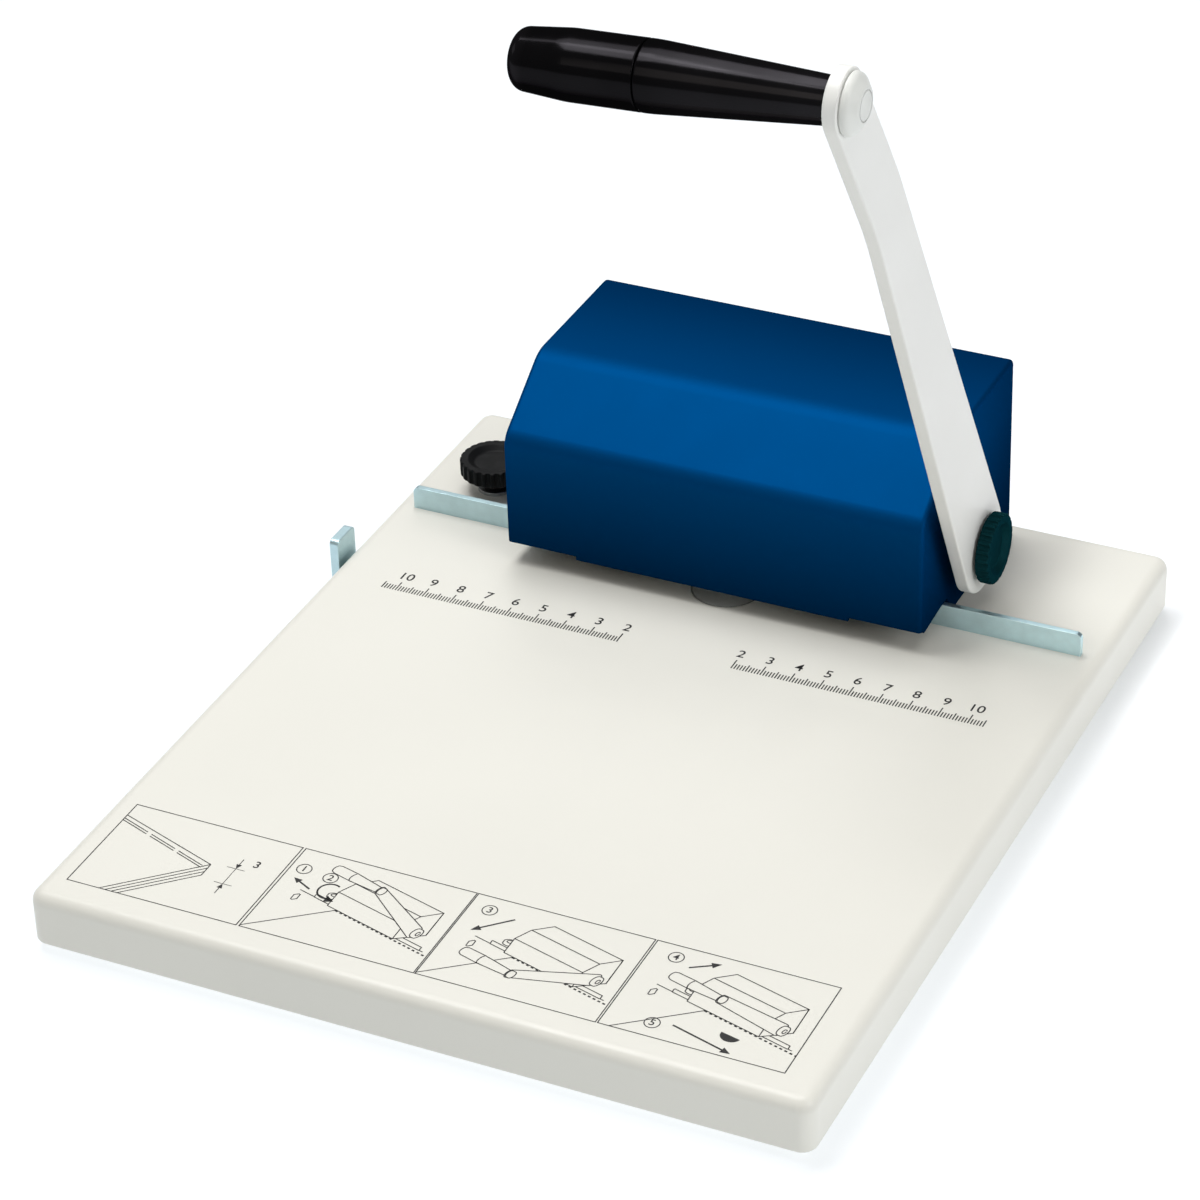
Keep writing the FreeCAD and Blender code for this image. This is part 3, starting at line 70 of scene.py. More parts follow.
class Finish:
    """A procedural material: one Principled surface with grain, speckle and soft edges."""

    def __init__(self, name, colour, rough, metal=0.0):
        self.material = bpy.data.materials.new(name)
        self.material.use_nodes = True
        self.tree = self.material.node_tree
        self.shader = self.tree.nodes["Principled BSDF"]
        self.place = self.add("ShaderNodeTexCoord").outputs["Object"]
        self.normal = None
        self.shader.inputs["Metallic"].default_value = metal
        self.shader.inputs["Base Color"].default_value = (*colour, 1)
        self.shader.inputs["Roughness"].default_value = rough

    def add(self, kind, **settings):
        node = self.tree.nodes.new(kind)
        for key, value in settings.items():
            setattr(node, key, value)
        return node

    def link(self, source, target):
        self.tree.links.new(source, target)

    def noise(self, scale, detail=2.0, stretch=(1, 1, 1)):
        """Noise between 0 and 1, scale in grains per metre."""
        place = self.place
        if stretch != (1, 1, 1):
            mapping = self.add("ShaderNodeMapping")
            mapping.inputs["Scale"].default_value = stretch
            self.link(place, mapping.inputs["Vector"])
            place = mapping.outputs["Vector"]
        noise = self.add("ShaderNodeTexNoise")
        noise.inputs["Scale"].default_value = scale
        noise.inputs["Detail"].default_value = detail
        self.link(place, noise.inputs["Vector"])
        return noise.outputs["Fac"]

    def cells(self, scale):
        """Distance from the middle of the nearest cell, scale in cells per metre."""
        cells = self.add("ShaderNodeTexVoronoi")
        cells.inputs["Scale"].default_value = scale
        self.link(self.place, cells.inputs["Vector"])
        return cells.outputs["Distance"]

    def spread(self, value, low, high, from_low=0.3, from_high=0.7):
        """Map one range to another. The first one is by default where most of a noise lies."""
        spread = self.add("ShaderNodeMapRange")
        for key, number in (("From Min", from_low), ("From Max", from_high),
                            ("To Min", low), ("To Max", high)):
            spread.inputs[key].default_value = number
        self.link(value, spread.inputs["Value"])
        return spread.outputs["Result"]

    def mix(self, factor, first, second):
        """Mix two colours, each a tuple or a socket."""
        mix = self.add("ShaderNodeMix", data_type="RGBA")
        self.link(factor, mix.inputs["Factor"])
        for socket, value in ((mix.inputs[MIX_FIRST], first), (mix.inputs[MIX_SECOND], second)):
            if isinstance(value, tuple):
                socket.default_value = (*value, 1)
            else:
                self.link(value, socket)
        return mix.outputs[MIX_RESULT]

    def fade(self, colour, axis, low, high, tone_low, tone_high):
        """Painted light and shade: scale a colour by a tone that runs along one axis."""
        axes = self.add("ShaderNodeSeparateXYZ")
        self.link(self.place, axes.inputs["Vector"])
        tone = self.spread(axes.outputs[axis], tone_low, tone_high, low, high)
        scaled = self.add("ShaderNodeVectorMath", operation="SCALE")
        self.link(colour, scaled.inputs[0])
        self.link(tone, scaled.inputs["Scale"])
        return scaled.outputs["Vector"]

    def faded(self, colour, painted_shading):
        """Paint light and shade onto a colour. Each fade is an axis, two places along it in
        metres and the tone at each of them.
        """
        for fade in painted_shading:
            colour = self.fade(colour, *fade)
        return colour

    def measure(self, operation, vector, other=None):
        """Length of a vector, or its dot product with another one, a tuple or a socket."""
        node = self.add("ShaderNodeVectorMath", operation=operation)
        self.link(vector, node.inputs[0])
        if isinstance(other, tuple):
            node.inputs[1].default_value = other
        elif other is not None:
            self.link(other, node.inputs[1])
        return node.outputs["Value"]

    def soft_edges(self, radius):
        """Shade each edge as if it were rounded, radius in metres."""
        bevel = self.add("ShaderNodeBevel", samples=6)
        bevel.inputs["Radius"].default_value = radius
        self.normal = bevel.outputs["Normal"]

    def edge_mask(self, low=0.02, high=0.25):
        """1 on an edge that the soft-edge normal turns, 0 on open faces."""
        open_face = self.add("ShaderNodeNewGeometry").outputs["Normal"]
        turned = self.measure("DOT_PRODUCT", self.normal, open_face)
        return self.spread(turned, 1.0, 0.0, 1 - high, 1 - low)

    def bump(self, height, distance):
        """Relief on top of the normal so far, distance in metres."""
        bump = self.add("ShaderNodeBump")
        bump.inputs["Distance"].default_value = distance
        bump.inputs["Strength"].default_value = 1.0
        self.link(height, bump.inputs["Height"])
        if self.normal is not None:
            self.link(self.normal, bump.inputs["Normal"])
        self.normal = bump.outputs["Normal"]

    def tint(self, socket):
        self.link(socket, self.shader.inputs["Base Color"])

    def matt(self, socket):
        self.link(socket, self.shader.inputs["Roughness"])

    def finish(self, **constants):
        """Set the shader's constants, each by its socket's name with _ for a space."""
        for key, value in constants.items():
            self.shader.inputs[key.replace("_", " ")].default_value = value
        if self.normal is not None:
            self.link(self.normal, self.shader.inputs["Normal"])
        return self.material


def lighter(colour, share):
    return tuple(min(1.0, c * share) for c in colour)


def paint(name, colour, rough, peel, depth, cloud=0.04, edge=0.0006, uneven=0.12, painted_shading=(),
          **constants):
    """Lacquer or powder coat: soft edges, a fine orange peel and slow clouding."""
    f = Finish(name, colour, rough)
    f.soft_edges(edge)
    mask = f.edge_mask()
    clouds = f.spread(f.noise(PAINT_CLOUDS, 3), 0, 1)
    base = f.mix(clouds, lighter(colour, 1 - cloud), lighter(colour, 1 + cloud))
    f.tint(f.faded(f.mix(mask, base, lighter(colour, 1 + 2 * cloud)), painted_shading))
    f.matt(f.spread(f.noise(PAINT_SHEEN, 3), rough * (1 - uneven), rough * (1 + uneven)))
    f.bump(f.noise(peel, 2), depth)
    return f.finish(**constants)


def steel(name, colour, rough, stretch=(1, 1, 1), grain=900, depth=0.00001, spangle=0.0,
          edge=0.0004, metal=1.0, edge_wear_and_shade=1.3, painted_shading=(), **constants):
    """Metal with a fine grain, drawn out along the way it was brushed, and edges of another
    tone: lighter from wear by default, darker as painted shade where a tone below 1 is given.
    """
    f = Finish(name, colour, rough, metal)
    f.soft_edges(edge)
    mask = f.edge_mask()
    streaks = f.noise(grain, 4, stretch)
    patches = f.spread(f.noise(STEEL_PATCHES, 4), 0, 1)
    base = f.mix(patches, lighter(colour, 0.86), lighter(colour, 1.08))
    if spangle:
        crystals = f.spread(f.cells(ZINC_CRYSTALS), 0, spangle, 0, 1)
        base = f.mix(crystals, base, lighter(colour, 0.7))
    f.tint(f.faded(f.mix(mask, base, lighter(colour, edge_wear_and_shade)), painted_shading))
    f.matt(f.spread(streaks, rough * 0.75, rough * 1.3))
    f.bump(streaks, depth)
    return f.finish(**constants)


def plastic(name, colour, rough, grain, depth, edge=0.0004, painted_shading=(), **constants):
    """Moulded plastic: faint clouds, a fine grain and lighter edges."""
    f = Finish(name, colour, rough)
    f.soft_edges(edge)
    mask = f.edge_mask()
    clouds = f.spread(f.noise(PLASTIC_CLOUDS, 3), 0, 1)
    base = f.mix(clouds, lighter(colour, 0.85), lighter(colour, 1.15))
    f.tint(f.faded(f.mix(mask, base, lighter(colour, 1.6)), painted_shading))
    f.matt(f.spread(f.noise(PLASTIC_SHEEN, 3), rough * 0.85, rough * 1.2))
    f.bump(f.noise(grain, 3), depth)
    return f.finish(**constants)


def ink(name, colour, worn_colour):
    """Printed ink: nearly flat, a little rubbed and broken."""
    f = Finish(name, colour, 0.5)
    wear = f.spread(f.noise(INK_WEAR, 3), 0, 0.03, 0.45, 0.8)
    f.tint(f.mix(wear, colour, worn_colour))
    f.matt(f.spread(f.noise(INK_SHEEN, 2), 0.42, 0.6))
    f.bump(f.noise(INK_GRAIN, 2), 0.000004)
    return f.finish()


# Painted light: the board and the stop bar get lighter to the right, as if lit more from the
# right
BOARD_PAINTED_LIGHT = (("X", 0.0, 0.12, 1.0, 1.05),)
BAR_PAINTED_LIGHT = (("X", 0.0, 0.11, 1.0, 1.25),)
# Painted shade on the cover: its front and sides darken downwards, its top towards the back
COVER_PAINTED_SHADE = (("Z", 0.027, 0.072, 0.37, 1.0), ("Y", 0.094, 0.147, 1.0, 0.5))
# Painted light on the grip: it is lighter at its free end and towards the lever, where its
# highlights lie
GRIP_PAINTED_LIGHT = (("X", -0.020, -0.014, 2.2, 1.0), ("X", 0.02, 0.07, 1.0, 1.8))

ZINC = {"colour": (0.54, 0.72, 0.77), "rough": 0.4, "stretch": (1, 1, 6), "grain": 700,
        "spangle": 0.25}
KNOB_GRAIN = {"rough": 0.42, "grain": 2600, "depth": 0.00002}

# By the slot that the CAD gave, or by the node's name where a piece has a finish of its own
MATERIALS = {
    "board_lacquer": paint(
        "board_lacquer", (0.80, 0.79, 0.725), rough=0.42, peel=420, depth=0.000016,
        cloud=0.01, edge=0.0008, painted_shading=BOARD_PAINTED_LIGHT, Coat_Weight=0.12, Coat_Roughness=0.35),
    "cover_paint": paint(
        "cover_paint", (0.0, 0.050, 0.176), rough=0.5, peel=1300, depth=0.000006,
        cloud=0.015, edge=0.0008, uneven=0.02, painted_shading=COVER_PAINTED_SHADE, Metallic=0.5,
        Specular_IOR_Level=0.0, Specular_Tint=(0.0, 0.42, 0.46, 1)),
    "lever_paint": paint(
        "lever_paint", (0.82, 0.82, 0.79), rough=0.38, peel=1400, depth=0.000010,
        cloud=0.02, edge=0.0006),
    "cap_plastic": plastic(
        "cap_plastic", (0.66, 0.67, 0.64), rough=0.4, grain=1600, depth=0.000006),
    "knob_plastic": plastic(
        "knob_plastic", (0.008, 0.0085, 0.009), **KNOB_GRAIN, Specular_IOR_Level=0.1),
    "lever_knob": plastic(
        "teal_knob_plastic", (0.004, 0.030, 0.036), **KNOB_GRAIN, Metallic=0.5,
        Specular_IOR_Level=0.0, Specular_Tint=(0.12, 0.42, 0.47, 1)),
    "grip_plastic": plastic(
        "grip_plastic", (0.010, 0.0095, 0.0105), rough=0.13, grain=500, depth=0.000003,
        painted_shading=GRIP_PAINTED_LIGHT, Metallic=0.7, Specular_IOR_Level=0.0,
        Specular_Tint=(0.18, 0.17, 0.17, 1)),
    "foot_rubber": plastic(
        "foot_rubber", (0.015, 0.015, 0.015), rough=0.75, grain=3000, depth=0.00004),
    "zinc_steel": steel("zinc_steel", **ZINC),
    "stop_bar": steel("stop_bar_zinc", **ZINC, painted_shading=BAR_PAINTED_LIGHT),
    "screw_steel": steel("screw_steel", (0.45, 0.46, 0.47), rough=0.35),
    "tool_steel": steel(
        "tool_steel", (0.66, 0.66, 0.65), rough=0.5, stretch=(1, 1, 0.15), grain=1500),
    # The die's darker edge ring is painted shade of the narrow gap round it in the board
    "die_button": steel(
        "die_steel", (0.50, 0.51, 0.49), rough=0.6, stretch=(1, 0.15, 1), grain=1500,
        edge=0.0009, metal=0.15, edge_wear_and_shade=0.3),
    "frame_steel": steel("frame_steel", (0.30, 0.31, 0.33), rough=0.42, stretch=(1, 0.1, 1)),
    "machined_steel": steel(
        "machined_steel", (0.50, 0.51, 0.53), rough=0.28, stretch=(0.1, 1, 1), grain=1400),
    "spring_steel": steel("spring_steel", (0.33, 0.33, 0.35), rough=0.3),
    "bush_brass": steel(
        "bush_brass", (0.66, 0.46, 0.19), rough=0.32, stretch=(0.1, 1, 1), grain=1400),
}
INK = ink("printed_ink", (0.005, 0.005, 0.005), (0.6, 0.59, 0.55))

for name, node in nodes.items():
    for slot in node.material_slots:
        slot.material = MATERIALS.get(name) or MATERIALS[slot.material.name.split(".")[0]]


# Pieces made in the scene

def new_object(name, points, faces, material):
    mesh = bpy.data.meshes.new(name)
    mesh.from_pydata(points, [], faces)
    mesh.update()
    made = bpy.data.objects.new(name, mesh)
    bpy.context.scene.collection.objects.link(made)
    mesh.materials.append(material)
    return made


def new_piece(name, points, faces, material, body="base"):
    piece = new_object(name, points, faces, material)
    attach(piece, body)
    return piece


# Return springs: on the machine their upper end follows the ram, so they get shorter as it comes
# down; here they keep one length and are fixed to the base

WIRE_RADIUS = 0.5
SPRING_TURNS = 6


def coil(middle, low, high, radius, turn_steps=40, wire_steps=12):
    """Points and faces of a round wire wound upwards, in millimetres."""
    points, faces = [], []
    count = SPRING_TURNS * turn_steps
    climb = (high - low - 2 * WIRE_RADIUS) / count
    slope = math.atan2(climb * turn_steps, 2 * math.pi * radius)
    for i in range(count + 1):
        turn = 2 * math.pi * i / turn_steps
        out = Vector((math.cos(turn), math.sin(turn), 0))
        along = Vector((-math.sin(turn) * math.cos(slope), math.cos(turn) * math.cos(slope),
                        math.sin(slope)))
        up = out.cross(along)
        centre = Vector((*middle, low + WIRE_RADIUS + climb * i)) + out * radius
        for j in range(wire_steps):
            a = 2 * math.pi * j / wire_steps
            points.append((centre + (out * math.cos(a) + up * math.sin(a)) * WIRE_RADIUS) * MM)
    for i in range(count):
        for j in range(wire_steps):
            a, b = i * wire_steps + j, i * wire_steps + (j + 1) % wire_steps
            faces.append((a, a + wire_steps, b + wire_steps, b))
    faces.append(tuple(range(wire_steps)))
    faces.append(tuple(reversed(range(count * wire_steps, (count + 1) * wire_steps))))
    return points, faces


def make_springs():
    lowest, highest = (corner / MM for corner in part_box("return_springs"))
    outer = (highest.y - lowest.y) / 2
    line = (highest.y + lowest.y) / 2
    points, faces = [], []
    for x in (lowest.x + outer, highest.x - outer):
        wound, sides = coil((x, line), lowest.z, highest.z, outer - WIRE_RADIUS)
        faces += [tuple(len(points) + i for i in side) for side in sides]
        points += wound
    piece = new_piece("spring_pair", points, faces, MATERIALS["spring_steel"])
    # The wire is smooth all round, and flat at its two ends
    for side in piece.data.polygons:
        side.use_smooth = len(side.vertices) == 4
    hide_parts("return_springs")
    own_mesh(piece)


# Print on the board

INK_HEIGHT = 0.04
INK_TOP = (TABLE + INK_HEIGHT) * MM
# Widths of printed lines
THIN, LINE, BOLD = 0.22, 0.34, 0.6
ARROW_SPREAD = 0.42
# A digit's height as a share of the font's size, and how far its outline is thickened, in metres
DIGIT_SHARE, DIGIT_WEIGHT = 0.72, 0.00004


def bow(middle, turns, across, up):
    """Points at angles round a middle, on a circle or an ellipse."""
    return [(middle[0] + across * math.cos(a), middle[1] + up * math.sin(a)) for a in turns]


class Print:
    """Flat ink shapes on the board, in millimetres."""

    def __init__(self):
        self.points = []
        self.faces = []

    def area(self, outline):
        start = len(self.points)
        self.points += [(x * MM, y * MM, INK_TOP) for x, y in outline]
        self.faces.append(tuple(range(start, start + len(outline))))

    def line(self, path, width=LINE, closed=False):
        """A ribbon with mitred corners along a path."""
        path = [Vector(p) for p in path]
        if closed:
            path.append(path[0])
        count = len(path)
        sides = []
        for i, here in enumerate(path):
            before = path[i - 1] if i else (path[-2] if closed else None)
            after = path[i + 1] if i + 1 < count else (path[1] if closed else None)
            way_in = (here - before).normalized() if before is not None else None
            way_out = (after - here).normalized() if after is not None else None
            way_in = way_in or way_out
            way_out = way_out or way_in
            across = Vector((-way_in.y, way_in.x)) + Vector((-way_out.y, way_out.x))
            across.normalize()
            stretch = max(0.5, across.dot(Vector((-way_out.y, way_out.x))))
            across *= width / 2 / stretch
            sides.append((here - across, here + across))
        for (a, b), (c, d) in zip(sides, sides[1:]):
            self.area([a, c, d, b])

    def arrow(self, start, end, head, width):
        way = (Vector(end) - Vector(start)).normalized()
        side = Vector((-way.y, way.x)) * head * ARROW_SPREAD
        neck = Vector(end) - way * head
        self.line([start, tuple(neck)], width)
        self.area([tuple(neck - side), end, tuple(neck + side)])

    def arc(self, middle, radius, start=0, stop=360, width=LINE, count=30):
        """Part of a circle between two angles in degrees."""
        turns = [math.radians(start + (stop - start) * i / count) for i in range(count + 1)]
        path = bow(middle, turns, radius, radius)
        closed = stop - start == 360
        self.line(path[:-1] if closed else path, width, closed)

    def piece(self, name):
        return new_piece(name, self.points, self.faces, INK)


def make_digits(name, entries):
    """entries: text, centre x, centre y, height of a digit."""
    points, faces = [], []
    for text, x, y, height in entries:
        curve = bpy.data.curves.new(name, "FONT")
        curve.body = text
        curve.align_x = "CENTER"
        curve.align_y = "CENTER"
        curve.size = height * MM / DIGIT_SHARE
        curve.offset = DIGIT_WEIGHT
        lettering = bpy.data.objects.new(name, curve)
        mesh = bpy.data.meshes.new_from_object(lettering)
        mesh.transform(Matrix.Translation((x * MM, y * MM, INK_TOP)))
        bpy.data.objects.remove(lettering)
        start = len(points)
        points += [tuple(v.co) for v in mesh.vertices]
        faces += [tuple(start + i for i in p.vertices) for p in mesh.polygons]
    return new_piece(name, points, faces, INK)


# Rulers: a tick each millimetre, longer at fives and tens, and a digit each centimetre

TICKS = range(20, 106)
TICK_FOOT, TICK_WIDTH = 36.4, 0.42
TICK_TOPS = ((10, 41.4), (5, 40.1), (1, 39.2))
RULER_DIGITS = range(2, 11)
RULER_DIGIT_Y, RULER_DIGIT_HEIGHT = 44.9, 4.0


def make_rulers():
    marks = Print()
    for side in (-1, 1):
        for tick in TICKS:
            top = next(top for step, top in TICK_TOPS if tick % step == 0)
            marks.line([(side * tick, TICK_FOOT), (side * tick, top)], TICK_WIDTH)
    marks.piece("ruler_marks")


def make_ruler_digits():
    make_digits("ruler_digits", [
        (str(number), side * number * 10, RULER_DIGIT_Y, RULER_DIGIT_HEIGHT)
        for side in (-1, 1) for number in RULER_DIGITS])


# The strip of four pictograms: line drawings of the machine, made from its own sizes

STRIP_LOW, STRIP_HIGH = -142.6, -101.3
STRIP_BOXES = ((-117, -59.5), (-58.5, -1.2), (-0.7, 56.5), (57.2, 114.5))

# Where the machine is seen from, its scale and its place in a box
VIEW_AZIMUTH, VIEW_HEIGHT = math.radians(31), math.radians(27)
MACHINE_SCALE, MACHINE_PLACE = 0.2, (25, -137.5)
# In each box but the first, the lever's turn in degrees and how far the sheet is moved
MACHINE_POSES = ((20, 0), (46, 0), (30, 18))

# The machine's lines, in its own millimetres: x across, y to the back and z up
BOARD_BACK = ((-150, 86), (125, 86))
STOP_BAR = ((-117, 117), (84.9, 86.9), (TABLE, 29))
SIDE_STOP = ((-129.3, -126.3), (46.5, 58.2), (15, 27.3))
SHEET_X, SHEET_Y = (-60, 140), (84.9, -160)
DASHED_Y, DASHES = 75, (1.1, 0.7)
COVER_X = (-73, 73)
COVER_SECTION = ((65.9, 28.5), (65.9, 68.6), (93.6, 87.4), (146.7, 87.4), (146.7, 22.3))
KNOB_RADIUS = 11.7
STOP_KNOB, STOP_KNOB_Z, STOP_KNOB_DISH = (-98, 107), (27.4, 33), 7
LEVER_KNOB_X, LEVER_KNOB_DISH = (82, 87), 5
# The lever from the side: its pivot, the middle of its grip at rest, and its radius at each
PIVOT, HANDLE = (99.1, 45.1), (-15.6, 254.2)
LEVER_X, LEVER_FOOT, LEVER_HEAD = 79, 15.3, 10.2
CAP_X, CAP_RADIUS = (80, 85), 8.5
# Places along the grip with its radius there, and the same for its seam
GRIP_RINGS = ((-20, 8.5), (-16, 10), (17, 10.5), (76, 7))
SEAM_X, SEAM_RADIUS = 20.2, 10.5

# Angles of a round line, and the part of it from the top over the front to the bottom
CIRCLE = [2 * math.pi * i / 28 for i in range(28)]
FRONT_HALF = slice(7, 22)

# Places in a box have x from the box's left edge.
# The stack of sheets: its corner, the height of its back edge, its sides and its dashed rows
STACK_CORNER, STACK_BACK = (36, -119.5), -107.2
STACK_SHEETS, STACK_STEP, STACK_SIDE = 4, 1.9, (26, 24)
ROWS, ROW_GAP, ROW_DASHES = (1.6, 2.6), 1.5, (11, 1.5)
# The marks that give the stack's height, and their number
GAUGE_X, GAUGE_TOP, GAUGE_LOW, GAUGE_HALF = 44, -118.5, -126.5, 3
GAUGE_ARROW, GAUGE_HEAD, GAUGE_WIDTH = 5, 2.2, 0.3
GAUGE_DIGIT, GAUGE_DIGIT_HEIGHT = (49, -114.5), 3.2
# Straight arrows: box, start, end and length of the head
ARROWS = ((1, (10.5, -118.8), (3.6, -115.4), 2.8), (2, (15.5, -108.6), (5.5, -118), 3),
          (3, (13.5, -109.6), (21.8, -104.6), 3), (3, (20, -135.3), (40, -140.9), 3))
# The bent arrow round a knob: middle, radius, two angles in degrees, and its head
BEND_MIDDLE, BEND_RADIUS, BEND_TURN = (16.6, -117.6), 3.6, (60, 280)
BEND_HEAD = ((17, -122.8), (20, -121.6), (17.2, -119.6))
# The hole that is punched
MOON_MIDDLE, MOON_HALF, MOON_DEPTH, MOON_TILT = (37, -133.4), 3.2, 2.8, 0.25
# Ringed numbers: number, box and place
NUMBERS = ((1, 1, (4.4, -110.6)), (2, 1, (13.8, -111.6)), (3, 2, (6.6, -107.4)),
           (4, 3, (8.2, -106.6)), (5, 3, (14.2, -136.6)))
NUMBER_RING, NUMBER_HEIGHT = 2.3, 2.7


def ring(x, middle, radius):
    """Points of a circle that faces along x."""
    return [(x, *p) for p in bow(middle, CIRCLE, radius, radius)]


def flat_ring(middle, height, radius):
    """Points of a circle that faces up."""
    return [(*p, height) for p in bow(middle, CIRCLE, radius, radius)]


def block(xs, ys, zs):
    return [(x, y, z) for x in xs for y in ys for z in zs]


def hull(points):
    """Outline round a set of points in the plane, counterclockwise."""
    points = sorted(set(points))

    def half(run):
        chain = []
        for p in run:
            while len(chain) > 1 and cross(chain[-2], chain[-1], p) <= 1e-9:
                chain.pop()
            chain.append(p)
        return chain[:-1]

    return half(points) + half(reversed(points))


def cross(a, b, c):
    """Above 0 where c lies to the left of the way from a to b."""
    return (b[0] - a[0]) * (c[1] - a[1]) - (b[1] - a[1]) * (c[0] - a[0])


def inside(point, outline):
    return all(cross(a, b, point) > 1e-6 for a, b in zip(outline, outline[1:] + outline[:1]))


def box_outline(box):
    low, high = STRIP_BOXES[box]
    return [(low, STRIP_LOW), (high, STRIP_LOW), (high, STRIP_HIGH), (low, STRIP_HIGH)]


def spot(box, place):
    """A place in a box, on the board."""
    return STRIP_BOXES[box][0] + place[0], place[1]


class Pictogram:
    """Line drawing in one box. What is drawn later hides what is behind it."""

    def __init__(self, box, scale=1, middle=(0, 0)):
        self.box = box_outline(box)
        self.strokes = []
        self.scale = scale
        self.middle = middle
        a, e = VIEW_AZIMUTH, VIEW_HEIGHT
        self.right = (math.cos(a), math.sin(a), 0)
        self.up = (-math.sin(a) * math.sin(e), math.cos(a) * math.sin(e), math.cos(e))

    def flat(self, point):
        """A point of the machine, in the box."""
        across = sum(p * r for p, r in zip(point, self.right))
        up = sum(p * u for p, u in zip(point, self.up))
        return self.middle[0] + across * self.scale, self.middle[1] + up * self.scale

    def stroke(self, path, width=LINE, dash=None, shield=None):
        self.strokes.append((path, width, dash, shield))

    def edge(self, points, **style):
        """A line along points of the machine."""
        self.stroke([self.flat(p) for p in points], **style)

    def solid(self, points):
        """Outline of a convex solid, which hides what is behind it."""
        outline = hull([self.flat(p) for p in points])
        self.stroke(outline + outline[:1], shield=outline)

    def draw(self, target):
        for index, (path, width, dash, _) in enumerate(self.strokes):
            shields = [s[3] for s in self.strokes[index + 1:] if s[3]]
            for run in self.shown(path, dash, shields):
                target.line(run, width)

    def shown(self, path, dash, shields, step=0.12):
        """Runs of the path inside the box and outside every shield."""
        runs, run, gone = [], [], 0.0
        for a, b in zip(path, path[1:]):
            length = math.dist(a, b)
            count = max(1, math.ceil(length / step))
            for i in range(count + 1):
                share = i / count
                p = (a[0] + (b[0] - a[0]) * share, a[1] + (b[1] - a[1]) * share)
                lit = dash is None or (gone + length * share) % sum(dash) < dash[0]
                if lit and inside(p, self.box) and not any(inside(p, s) for s in shields):
                    if len(run) > 1 and abs(cross(run[-2], run[-1], p)) < 1e-7:
                        run[-1] = p
                    elif not run or math.dist(run[-1], p) > 1e-6:
                        run.append(p)
                else:
                    runs.append(run)
                    run = []
            gone += length
        return [r for r in runs + [run] if len(r) > 1]


def swing(point, degrees):
    """A point of the lever's side view, turned about the pivot."""
    a = math.radians(degrees)
    y, z = point[0] - PIVOT[0], point[1] - PIVOT[1]
    return (PIVOT[0] + y * math.cos(a) - z * math.sin(a),
            PIVOT[1] + y * math.sin(a) + z * math.cos(a))


def draw_machine(view, lever_turn, sheet_shift):
    """The machine's main lines, from the back to the front."""
    view.edge([(x, y, TABLE) for x, y in BOARD_BACK])
    view.solid(block(*STOP_BAR))
    left, right = (x + sheet_shift for x in SHEET_X)
    view.edge([(left, y, TABLE) for y in SHEET_Y])
    view.edge([(x, DASHED_Y, TABLE) for x in (left, right)], width=BOLD, dash=DASHES)
    view.solid([p for z in STOP_KNOB_Z for p in flat_ring(STOP_KNOB, z, KNOB_RADIUS)])
    view.edge(flat_ring(STOP_KNOB, STOP_KNOB_Z[1], STOP_KNOB_DISH))
    view.solid(block(*SIDE_STOP))
    view.solid([(x, *p) for x in COVER_X for p in COVER_SECTION])
    for bend in COVER_SECTION[1:3]:
        view.edge([(x, *bend) for x in COVER_X])
    view.edge([(COVER_X[1], *p) for p in COVER_SECTION])
    head = swing(HANDLE, lever_turn)
    view.solid([p for x, radius in GRIP_RINGS for p in ring(x, head, radius)])
    view.edge(ring(SEAM_X, head, SEAM_RADIUS)[FRONT_HALF])
    view.solid(ring(LEVER_X, PIVOT, LEVER_FOOT) + ring(LEVER_X, head, LEVER_HEAD))
    view.solid([p for x in CAP_X for p in ring(x, head, CAP_RADIUS)])
    view.solid([p for x in LEVER_KNOB_X for p in ring(x, PIVOT, KNOB_RADIUS)])
    view.edge(ring(LEVER_KNOB_X[1], PIVOT, LEVER_KNOB_DISH))


def draw_sheets(target):
    """A stack of sheets seen from above, in the first box."""
    view = Pictogram(0)
    left = STRIP_BOXES[0][0]
    x, y = spot(0, STACK_CORNER)
    view.stroke([(left, STACK_BACK), (x, y)])
    drops = [layer * STACK_STEP for layer in range(STACK_SHEETS)]
    for drop in drops:
        view.stroke([(x, y - drop), (x - STACK_SIDE[0], y - drop - STACK_SIDE[1])])
    view.stroke([(x, y), (x, y - drops[-1])])
    for row in ROWS:
        view.stroke([(left, STACK_BACK - row), (x - ROW_GAP, y - row)], dash=ROW_DASHES)
    view.draw(target)


def draw_gauge(target):
    """The marks that give the stack's height."""
    x = STRIP_BOXES[0][0] + GAUGE_X
    for mark, away in ((GAUGE_TOP, GAUGE_ARROW), (GAUGE_LOW, -GAUGE_ARROW)):
        target.line([(x - GAUGE_HALF, mark), (x + GAUGE_HALF, mark)], THIN)
        target.arrow((x, mark + away), (x, mark), GAUGE_HEAD, GAUGE_WIDTH)
    target.line([(x, GAUGE_TOP), (x, GAUGE_LOW)], THIN)


def draw_signs(target):
    """The arrows and the hole."""
    for box, start, end, head in ARROWS:
        target.arrow(spot(box, start), spot(box, end), head, BOLD)
    target.arc(spot(1, BEND_MIDDLE), BEND_RADIUS, *BEND_TURN, BOLD)
    target.area([spot(1, p) for p in BEND_HEAD])
    turns = [math.pi * (1 + i / 14) - MOON_TILT for i in range(15)]
    target.area(bow(spot(3, MOON_MIDDLE), turns, MOON_HALF, MOON_DEPTH))


